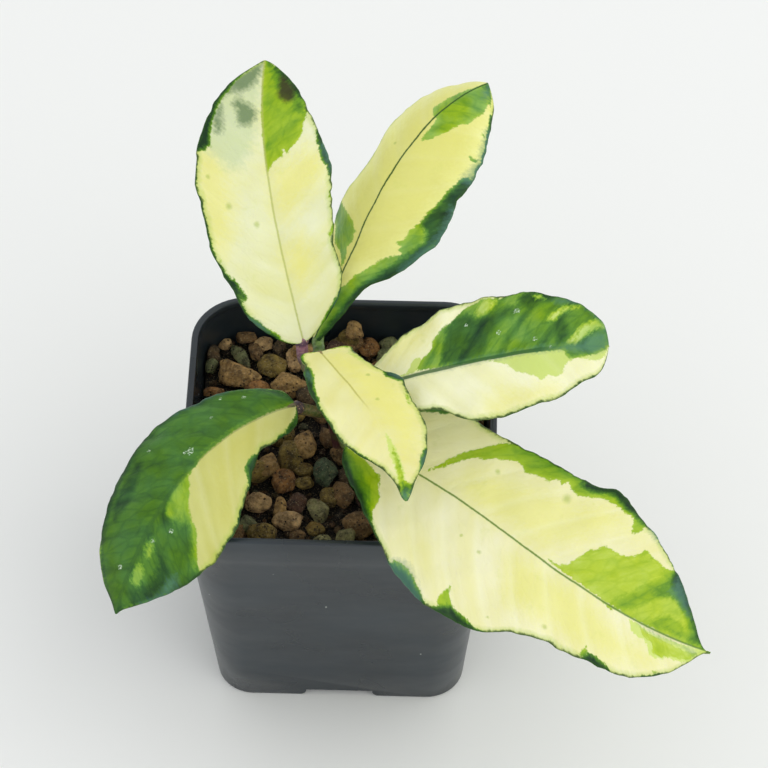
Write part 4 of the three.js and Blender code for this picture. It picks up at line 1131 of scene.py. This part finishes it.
def leaf_blade(name, shape):
    """The blade, the places and up directions of its midrib, and the way to lay marks flat on it."""
    rows = round(shape["length"] / ROW_STEP)
    inner_columns = FEW_COLUMNS if name == "leaf_centre" else COLUMNS
    columns = inner_columns + 2 * (len(MARGIN_STEPS) - 1)
    bpy.ops.mesh.primitive_grid_add(x_subdivisions=columns - 1, y_subdivisions=rows - 1, size=1)
    blade = start_piece(name)
    grid = points_of(blade)
    column = np.rint((grid[:, 0] + 0.5) * (columns - 1)).astype(int)
    row = np.rint((grid[:, 1] + 0.5) * (rows - 1)).astype(int)
    step, along, middle, forward, left, up = midrib(shape, rows)
    widths = {side: half_widths(shape, step, along, side) for side in ("left", "right")}

    share = column / (columns - 1) * 2 - 1
    side = np.where(share > 0, -1, 1)
    width = np.where(side > 0, widths["left"][row], widths["right"][row])
    edge = np.minimum(column, columns - 1 - column)
    shrink = np.minimum(1, width / 3)
    from_margin = np.take(MARGIN_STEPS, np.minimum(edge, len(MARGIN_STEPS) - 1)) * shrink
    inner_share = np.clip(abs(share) / (1 - 2 * (len(MARGIN_STEPS) - 1) / (columns - 1)), 0, 1)
    across = np.where(edge < len(MARGIN_STEPS) - 1, width - from_margin,
                      (width - MARGIN_STEPS[-1] * shrink) * inner_share ** 1.15)
    t = along[row]
    v = across / width
    place_along = t * shape["length"]

    fold, cup = np.radians(between(*shape["fold"], t)), math.radians(shape["cup"])
    out = (np.sin(fold + cup * v) - np.sin(fold)) / cup * width
    lift = (np.cos(fold) - np.cos(fold + cup * v)) / cup * width
    calm = np.sin(math.pi * t)
    wave = np.sin(2 * math.pi * (shape["waves"] * t + WAVE_OFFSET * side))
    lift = lift + WAVE_HEIGHT * calm * v ** 2 * wave
    past, vein = side_vein(across, place_along)
    shift = 40 * list(SHAPES).index(name)

    def bumps(fineness, layer):
        return np.array([noise.noise(Vector((x * s * fineness + shift, y * fineness, layer)))
                         for x, s, y in zip(across, side, place_along)])

    soft, fine = bumps(0.14, 0), bumps(0.4, 9)
    groove = (0.08 if name == "leaf_centre" else 0.2) * (1 - 0.5 * t) * np.exp(-(across / 0.8) ** 2)
    swelling = 0.2 * np.exp(-(vein / 1.5) ** 2) * np.clip(across / 3, 0, 1)
    near_edge = 1 - np.clip((width - across) / ROUNDING, 0, 1)
    rounding = 0.32 * (1 - np.sqrt(1 - near_edge ** 2))
    lift = lift - (groove + swelling) * np.minimum(1, width / 4) - rounding + (0.6 * soft + 0.1 * fine) * calm
    places = middle[row] + left[row] * (side * out)[:, None] + up[row] * lift[:, None]
    place_points(blade, (places + ROW_SHIFT) * MM)

    flat = np.column_stack([side * across, place_along])

    def lay_flat(far, off):
        left_half, right_half = (np.interp(far, along, widths[half]) for half in ("left", "right"))
        wide = np.where(off > 0, left_half, right_half)
        return np.column_stack([off * wide, far * shape["length"]])

    for kind in KINDS:
        if kind in PATCHES[name]:
            store(blade, kind, mark_depths(PATCHES[name][kind], flat, lay_flat))
    store(blade, "leaf_place", np.column_stack([flat, 0 * t]))
    store(blade, "vein_way", np.column_stack([past, across * 1.3, side * 20 + shift]))
    store(blade, "rib", side * across)
    store(blade, "margin", width - across)

    body = between(BLADE_THICKNESS, MARGIN_THICKNESS, v)
    keel = KEEL_DEPTH * (1 - t) * np.exp(-(across / 1.6) ** 2) * np.minimum(1, width / 3)
    thin = 1 - 0.6 * near_edge ** 2
    thickness = (body * thin + keel) * between(1, 0.5, np.clip((t - 0.94) / 0.06, 0, 1))
    group = blade.vertex_groups.new(name="thickness")
    most = BLADE_THICKNESS + KEEL_DEPTH
    for i, depth in enumerate(thickness):
        group.add([i], depth / most, "REPLACE")
    only(blade)
    solid = blade.modifiers.new("body", "SOLIDIFY")
    solid.thickness = most * MM
    solid.offset = -1
    solid.vertex_group = "thickness"
    top = len(blade.data.vertices)
    apply_all(blade)
    blade.vertex_groups.clear()
    under = np.zeros(len(blade.data.vertices))
    under[top:] = 1
    store(blade, "under", under)
    return blade, middle, up, lay_flat


def leaf_stalk(name, shape, middle, up):
    """The stalk bends out of the stem and runs on under the midrib, with a knot where they meet."""
    turn = math.radians(shape["stalk"])
    reach = np.array([math.cos(turn), math.sin(turn), 0])
    knee = shape["joint"] + reach * (2.4 if name == "leaf_back_left" else 3.6) + (0, 0, 1.2)
    seats = [middle[i] - up[i] * drop for i, drop in ((0, 1.3), (len(middle) // 6, 1.6))]
    share = np.linspace(0, 1, 40)
    points = through([shape["joint"], knee, *seats], share)
    radii = np.interp(share, (0, 0.5, 0.58, 0.64, 0.7, 0.8, 1),
                      (1.5, 1.4, 1.45, 1.45 + KNOTS[name], 1.3, 0.8, 0.4))
    stalk = tube(name + "_stalk", points, radii, 5)
    places = points_of(stalk) / MM - ROW_SHIFT
    nearest = np.argmin(np.linalg.norm(places[:, None] - points, axis=2), axis=1)
    store(stalk, "reach", share[nearest])
    normals = np.zeros(len(places) * 3)
    stalk.data.vertex_normals.foreach_get("vector", normals)
    store(stalk, "low", -normals.reshape(-1, 3)[:, 2])
    return stalk


print("leaf builders are ready")

# %% [markdown]
# ### The leaf's finish
#
# Cream is the ground, yellower in places and paler in soft bands along the side
# veins. Over it lie the patches. How far each point is inside a patch is on the
# mesh; noise added to that makes the edge ragged, with teeth that follow the
# veins. Inside the patches the green runs softly from pale lime to nearly
# black-green: one number, the depth of green, is read off one colour ramp. A
# thin dark rim follows the margin. The wax gives a satin sheen, so the colours
# are set a little deeper than they are seen.

# %% Leaves: finish
WAX_SHEEN, DARKEST = 0.012, 0.0015
GREENS = [(0, (210, 226, 116)), (0.2, (184, 205, 52)), (0.38, (152, 184, 8)), (0.55, (108, 152, 16)),
          (0.72, (74, 117, 22)), (0.87, (48, 84, 24)), (1, (32, 58, 22))]
COOL_GREENS = [(0, (190, 222, 150)), (0.38, (136, 184, 104)), (0.62, (84, 140, 78)), (1, (38, 76, 52))]
# The depth of green of each kind of patch, how mottled and how cool the green is, and how pale the veins are.
DEPTHS = {
    "leaf_back_left": dict(lime=0.38, green=0.6, dark=0.92, mottle=0.36, cool=0.1, veins=0.08),
    "leaf_back_right": dict(lime=0.42, green=0.47, dark=0.84, mottle=0.34, cool=0.6, veins=0.05),
    "leaf_right": dict(lime=0.42, green=0.58, dark=0.78, spring=0.5, glow=0.06,
                       mottle=0.36, cool=0.5, veins=0.08),
    "leaf_left": dict(lime=0.46, green=0.7, dark=0.85, spring=0.64, glow=0.36,
                      mottle=0.24, cool=0.45, veins=0.1),
    "leaf_centre": dict(lime=0.24, green=0.7, dark=0.95, mottle=0.3, cool=0.2, veins=0.05),
    "leaf_front_right": dict(lime=0.38, green=0.56, dark=0.86, glow=0.2, mottle=0.3, cool=0.15, veins=0.18),
}
# How soft and how ragged the edge of each kind of patch is, in millimetres.
SOFT = dict(warm=6, tint=3, ashy=1.8, light=0.35, green=1.6, dark=1.5, spring=2.2, glow=1.2,
            painted_sheen=1.8, spot=1.4)
RAGGED = dict(warm=4, tint=4, ashy=2, light=1.2, lime=1.1, green=1.8, dark=1.3, spring=2, glow=1.8,
              painted_sheen=2, spot=1.2)
# How far inside its outline a kind begins, in millimetres, and how strongly a tone covers.
STARTS = dict(green=0.5, dark=0.3, spring=0, glow=-0.1)
SHARES = dict(warm=0.7, tint=0.75, ashy=0.8, light=0.9, painted_sheen=0.5, spot=0.85)
# The bluish tone is a painted sheen: the sky's reflection on the wax along margins and folds, laid on as
# colour.
TONES = dict(warm=(238, 233, 128), tint=(204, 216, 168), ashy=(90, 120, 76), light=(206, 224, 116),
             painted_sheen=(92, 138, 124), spot=(58, 44, 34))
STAIN, VEIN_LIGHT, RIM_GLOW, RIM_DARK = (204, 214, 110), (250, 250, 214), (170, 196, 70), (46, 76, 36)
BLOT, FLECK, UNDERSIDE = (160, 182, 60), (214, 232, 206), (150, 168, 96)
# The two creams of each leaf. The left leaf's are darker than the others as painted shade over that leaf.
PALE = {"leaf_back_left": (234, 236, 199), "leaf_back_right": (240, 240, 160), "leaf_right": (254, 253, 214),
        "leaf_left": (216, 216, 140), "leaf_centre": (237, 234, 176), "leaf_front_right": (243, 240, 200)}
YELLOW = {"leaf_back_left": (224, 223, 145), "leaf_back_right": (230, 228, 130),
          "leaf_right": (240, 238, 172), "leaf_left": (198, 196, 100),
          "leaf_centre": (228, 221, 134), "leaf_front_right": (232, 228, 154)}
# The colour of the yellower areas where it isn't the usual one. The left leaf's is darker as painted shade.
WARM = {"leaf_left": (208, 204, 106), "leaf_back_right": (224, 220, 120),
        "leaf_front_right": (234, 231, 136), "leaf_back_left": (234, 229, 128)}
# The midrib's colour, half-width, strength, and how many millimetres from the base it fades out.
RIBS = {"leaf_back_left": ((176, 184, 92), 0.1, 0.7, 200), "leaf_back_right": ((56, 92, 34), 0.1, 1, 200),
        "leaf_right": ((56, 100, 50), 0.4, 0.85, 54), "leaf_left": ((54, 92, 46), 0.4, 0.35, 200),
        "leaf_centre": ((176, 174, 70), 0.08, 0.7, 23), "leaf_front_right": ((92, 132, 30), 0.1, 0.9, 200)}
# Small round blots and silvery flecks: how far along and across in per cent, and the radius in millimetres.
BLOTS = {"leaf_back_left": [(44.5, 28, 0.8), (52, 62, 0.9), (62, 82, 0.6)],
         "leaf_back_right": [(66, 40, 0.5)],
         "leaf_centre": [(29, 58, 0.5), (44, 30, 0.5)],
         "leaf_front_right": [(51.5, 72, 1.2), (35, 57, 0.7), (43.5, -30, 0.6), (38, -28, 0.4),
                              (64.5, -79, 0.7), (54, -82, 0.4)]}
FLECKS = {"leaf_right": [(73.5, 19, 0.8), (67.4, 68, 1.1), (60.4, 38, 0.8), (79, 3, 0.5), (48, 60, 0.6)],
          "leaf_left": [(64, 30, 0.8), (38.5, -20, 1.2), (40, -25, 0.6), (84, -25, 0.9), (47, -75, 0.6),
                        (14, -68, 0.7), (70.4, 14, 0.7), (20, -82, 0.5), (26, -50, 0.5)]}


def waxed(red, green, blue):
    """The colour under the wax that is seen as the given one on a screen."""
    return tuple(max(part - WAX_SHEEN, DARKEST) for part in shade(red, green, blue)[:3]) + (1,)


def ramp_colours(tree, value, stops):
    made = tree.nodes.new("ShaderNodeValToRGB")
    join(tree, value, made.inputs[0])
    band = made.color_ramp
    while len(band.elements) < len(stops):
        band.elements.new(0.5)
    for element, (place, colour) in zip(band.elements, stops):
        element.position = place
        element.color = waxed(*colour)
    return made.outputs["Color"]


def distance_to(tree, vector, point):
    made = tree.nodes.new("ShaderNodeVectorMath")
    made.operation = "DISTANCE"
    tree.links.new(vector, made.inputs[0])
    made.inputs[1].default_value = point
    return made.outputs["Value"]


def first_part(tree, vector):
    made = tree.nodes.new("ShaderNodeSeparateXYZ")
    tree.links.new(vector, made.inputs[0])
    return made.outputs[0]


def lerp(tree, share, first, second):
    return sums(tree, "MULTIPLY_ADD", share, sums(tree, "SUBTRACT", second, first), first)


def leaf_finish(name, blots, flecks):
    material, tree, shader = plain_finish(name + "_skin", shade(*PALE[name]), 0.4)
    place, way = own_value(tree, "leaf_place", "Vector"), own_value(tree, "vein_way", "Vector")
    kinds = {kind: own_value(tree, kind) for kind in KINDS if kind in PATCHES[name]}
    margin = own_value(tree, "margin")

    teeth = cloud(tree, stretch(tree, way, (1.1, 0.25, 1)), 1, 3, 0.6)
    crumbs = cloud(tree, place, 1.2, 3, 0.6)
    ragged = sums(tree, "ADD", sums(tree, "SUBTRACT", teeth, 0.5), sums(tree, "SUBTRACT", crumbs, 0.5))

    def inside(kind, start=0.0):
        torn = sums(tree, "MULTIPLY_ADD", ragged, RAGGED[kind], kinds[kind])
        return ramp(tree, torn, start - SOFT[kind] / 2, start + SOFT[kind] / 2)

    def lay_on(colour, share, strength, tone):
        """The tone over a colour, by a share times a strength."""
        return blend_colours(tree, sums(tree, "MULTIPLY", share, strength), colour, waxed(*tone))

    vein = sums(tree, "PINGPONG", first_part(tree, way), VEIN_SPACING / 2)
    vein = sums(tree, "MULTIPLY_ADD", ragged, 0.7, vein)
    rib = sums(tree, "ABSOLUTE", own_value(tree, "rib"))
    bands = ramp(tree, cloud(tree, stretch(tree, way, (0.16, 0.035, 1)), 1, 2, 0.5), 0.36, 0.64)
    broad = ramp(tree, cloud(tree, place, 0.07, 2), 0.36, 0.64)
    colour = lay_on(waxed(*PALE[name]), sums(tree, "ADD", bands, broad), 0.4, YELLOW[name])
    # Of these, the tint patch is a painted sheen.
    for kind in ("warm", "tint", "ashy", "light"):
        if kind in kinds:
            tone = WARM.get(name, TONES[kind]) if kind == "warm" else TONES[kind]
            colour = lay_on(colour, inside(kind), SHARES[kind], tone)
    stain = ramp(tree, cloud(tree, place, 0.16, 4, 0.65), 0.6, 0.8, 0, 0.4)
    colour = blend_colours(tree, stain, colour, waxed(*STAIN))
    on_vein = ramp(tree, vein, 0.1, 1.6, 1, 0)
    colour = lay_on(colour, on_vein, DEPTHS[name]["veins"], VEIN_LIGHT)

    net = tree.nodes.new("ShaderNodeTexVoronoi")
    net.feature = "DISTANCE_TO_EDGE"
    net.inputs["Scale"].default_value = 1
    tree.links.new(stretch(tree, way, (0.34, 0.2, 1)), net.inputs["Vector"])
    on_net = ramp(tree, sums(tree, "MULTIPLY_ADD", ragged, 0.12, net.outputs["Distance"]), 0.02, 0.14, 1, 0)
    mottle = sums(tree, "SUBTRACT", cloud(tree, stretch(tree, way, (0.3, 0.15, 1)), 1, 4, 0.65), 0.5)
    depth = DEPTHS[name]["lime"]
    patch = kinds["lime"]
    for kind in ("green", "dark", "spring", "glow"):
        if kind in kinds:
            depth = lerp(tree, inside(kind, STARTS[kind]), depth, DEPTHS[name][kind])
            patch = sums(tree, "MAXIMUM", patch, kinds[kind])
    torn = sums(tree, "MULTIPLY_ADD", ragged, RAGGED["lime"], patch)
    depth = sums(tree, "MULTIPLY_ADD", mottle, DEPTHS[name]["mottle"], depth)
    depth = sums(tree, "MULTIPLY_ADD", on_net, 0.05, depth)
    depth = sums(tree, "MULTIPLY_ADD", on_vein, 0.16 if name == "leaf_right" else 0.07, depth)
    depth = sums(tree, "ADD", depth, ramp(tree, torn, 0, 1.4, -0.1, 0))
    depth = sums(tree, "ADD", depth, ramp(tree, margin, 0.2, 2.4, 0.14, 0))
    green = ramp_colours(tree, depth, GREENS)
    cool = ramp(tree, cloud(tree, place, 0.13, 3), 0.36, 0.62, 0, DEPTHS[name]["cool"])
    green = blend_colours(tree, cool, green, ramp_colours(tree, depth, COOL_GREENS))
    uneven = sums(tree, "MULTIPLY_ADD", cloud(tree, place, 0.36, 2), 1.3,
                  sums(tree, "MULTIPLY_ADD", ragged, 0.8, -0.42))
    rim = sums(tree, "SUBTRACT", margin, sums(tree, "MAXIMUM", uneven, 0.06))
    colour = blend_colours(tree, ramp(tree, rim, 1.5, 0.1, 0, 0.6), colour, waxed(*RIM_GLOW))
    colour = blend_colours(tree, ramp(tree, torn, -0.16, 0.16), colour, green)
    colour = blend_colours(tree, ramp(tree, rim, 0.4, -0.1, 0, 0.92), colour, waxed(*RIM_DARK))
    # Patches of painted bluish sheen, and the brown spots, go on last.
    for kind in ("painted_sheen", "spot"):
        if kind in kinds:
            colour = lay_on(colour, inside(kind), SHARES[kind], TONES[kind])
    for *middle, radius in blots:
        near = sums(tree, "MULTIPLY_ADD", ragged, 0.6, distance_to(tree, place, middle))
        on_blot = ramp(tree, near, radius * 0.3, radius * 1.2, 0.5, 0)
        colour = blend_colours(tree, on_blot, colour, waxed(*BLOT))
    dashes = cloud(tree, stretch(tree, way, (4.2, 1.4, 1)), 1, 2, 0.6)
    for *middle, radius in flecks:
        near = ramp(tree, distance_to(tree, place, middle), radius * 0.7, radius * 1.3, 1, 0)
        bright = ramp(tree, sums(tree, "MULTIPLY", near, dashes), 0.5, 0.58, 0, 0.85)
        colour = blend_colours(tree, bright, colour, waxed(*FLECK))
    rib_colour, rib_half, rib_strength, rib_end = RIBS[name]
    wander = sums(tree, "MULTIPLY_ADD", ragged, 0.25, rib)
    on_rib = ramp(tree, wander, rib_half, rib_half + 0.26, rib_strength, 0)
    faded = ramp(tree, distance_to(tree, place, (0, 0, 0)), rib_end - 6, rib_end, 1, 0)
    colour = lay_on(colour, on_rib, faded, rib_colour)
    colour = lay_on(colour, own_value(tree, "under"), 0.4, UNDERSIDE)
    tree.links.new(colour, shader.inputs["Base Color"])
    tree.links.new(ramp(tree, mottle, -0.2, 0.2, 0.36, 0.46), shader.inputs["Roughness"])
    skin = cloud(tree, place, 0.6, 2, 0.5)
    off_rib = ramp(tree, rib, 0.25, 0.7)
    creases = sums(tree, "MULTIPLY", sums(tree, "MULTIPLY_ADD", on_net, 0.8, on_vein), off_rib)
    height = sums(tree, "MULTIPLY_ADD", creases, -0.3, skin)
    relief(tree, shader, height, 0.1)
    shader.inputs["Specular IOR Level"].default_value = 0.28
    shader.inputs["Subsurface Weight"].default_value = 0.12
    shader.inputs["Subsurface Radius"].default_value = (0.9, 1, 0.3)
    shader.inputs["Subsurface Scale"].default_value = 2 * MM
    return material


STALK_LOW, STALK_BASE_SHADE, KNOT_TONE, SCALE_GLINT_TONE = (104, 50, 58), (44, 56, 36), (58, 32, 58), (214, 176, 120)
# The two colours of each stalk.
STALK_TONES = {
    "leaf_back_left": ((172, 122, 132), (136, 88, 106)), "leaf_back_right": ((112, 142, 62), (74, 104, 40)),
    "leaf_right": ((104, 116, 54), (76, 92, 40)), "leaf_left": ((124, 112, 64), (82, 94, 44)),
    "leaf_centre": ((180, 120, 110), (150, 134, 84)), "leaf_front_right": ((104, 116, 54), (76, 92, 40)),
}


def stalk_finish(name):
    """Stripes along the stalk, a red lower side, painted shade near the stem, and a dark knot with a few pale
    gold scales that are partly painted glints.
    """
    first, second = STALK_TONES[name]
    material, tree, shader = plain_finish(name + "_stalk_skin", shade(*first), 0.38)
    place = object_place(tree)
    stripes = ramp(tree, cloud(tree, stretch(tree, place, (500, 1300, 1300)), 1, 3), 0.38, 0.62)
    colour = blend_colours(tree, stripes, shade(*first), shade(*second))
    below = ramp(tree, own_value(tree, "low"), 0.1, 0.8, 0, 0.7)
    colour = blend_colours(tree, below, colour, shade(*STALK_LOW))
    along = own_value(tree, "reach")
    # The stalk's lower part is darkened towards the stem as painted shade near the joint.
    start, end, most = (0.3, 0.6, 0.85) if name == "leaf_back_left" else (0.1, 0.5, 0.6)
    colour = blend_colours(tree, ramp(tree, along, start, end, most, 0), colour, shade(*STALK_BASE_SHADE))
    if KNOTS[name]:
        ends = [ramp(tree, along, *span) for span in ((0.57, 0.61), (0.71, 0.67))]
        knot = sums(tree, "MULTIPLY", *ends)
        colour = blend_colours(tree, sums(tree, "MULTIPLY", knot, 0.85), colour, shade(*KNOT_TONE))
        # The pale gold scales on the knot double as painted glints.
        scale_glints = ramp(tree, cloud(tree, place, 1500, 2, 0.6), 0.6, 0.66)
        colour = blend_colours(tree, sums(tree, "MULTIPLY", scale_glints, knot), colour, shade(*SCALE_GLINT_TONE))
    tree.links.new(colour, shader.inputs["Base Color"])
    relief(tree, shader, stripes, 0.15)
    return material


def laid_spots(spots, lay_flat):
    """The places of small spots on the flat leaf in millimetres, each with its radius."""
    return [(*lay_flat(np.array([along / 100]), np.array([off / 100]))[0], 0, radius)
            for along, off, radius in spots]


for name, shape in SHAPES.items():
    blade, middle, up, lay_flat = leaf_blade(name, shape)
    stalk = leaf_stalk(name, shape, middle, up)
    blots, flecks = (laid_spots(table.get(name, []), lay_flat) for table in (BLOTS, FLECKS))
    blade.data.materials.append(leaf_finish(name, blots, flecks))
    stalk.data.materials.append(stalk_finish(name))
    leaf = merge([blade, stalk], name + "_living")
    smooth(leaf, 60)
    stand_for(leaf, name)
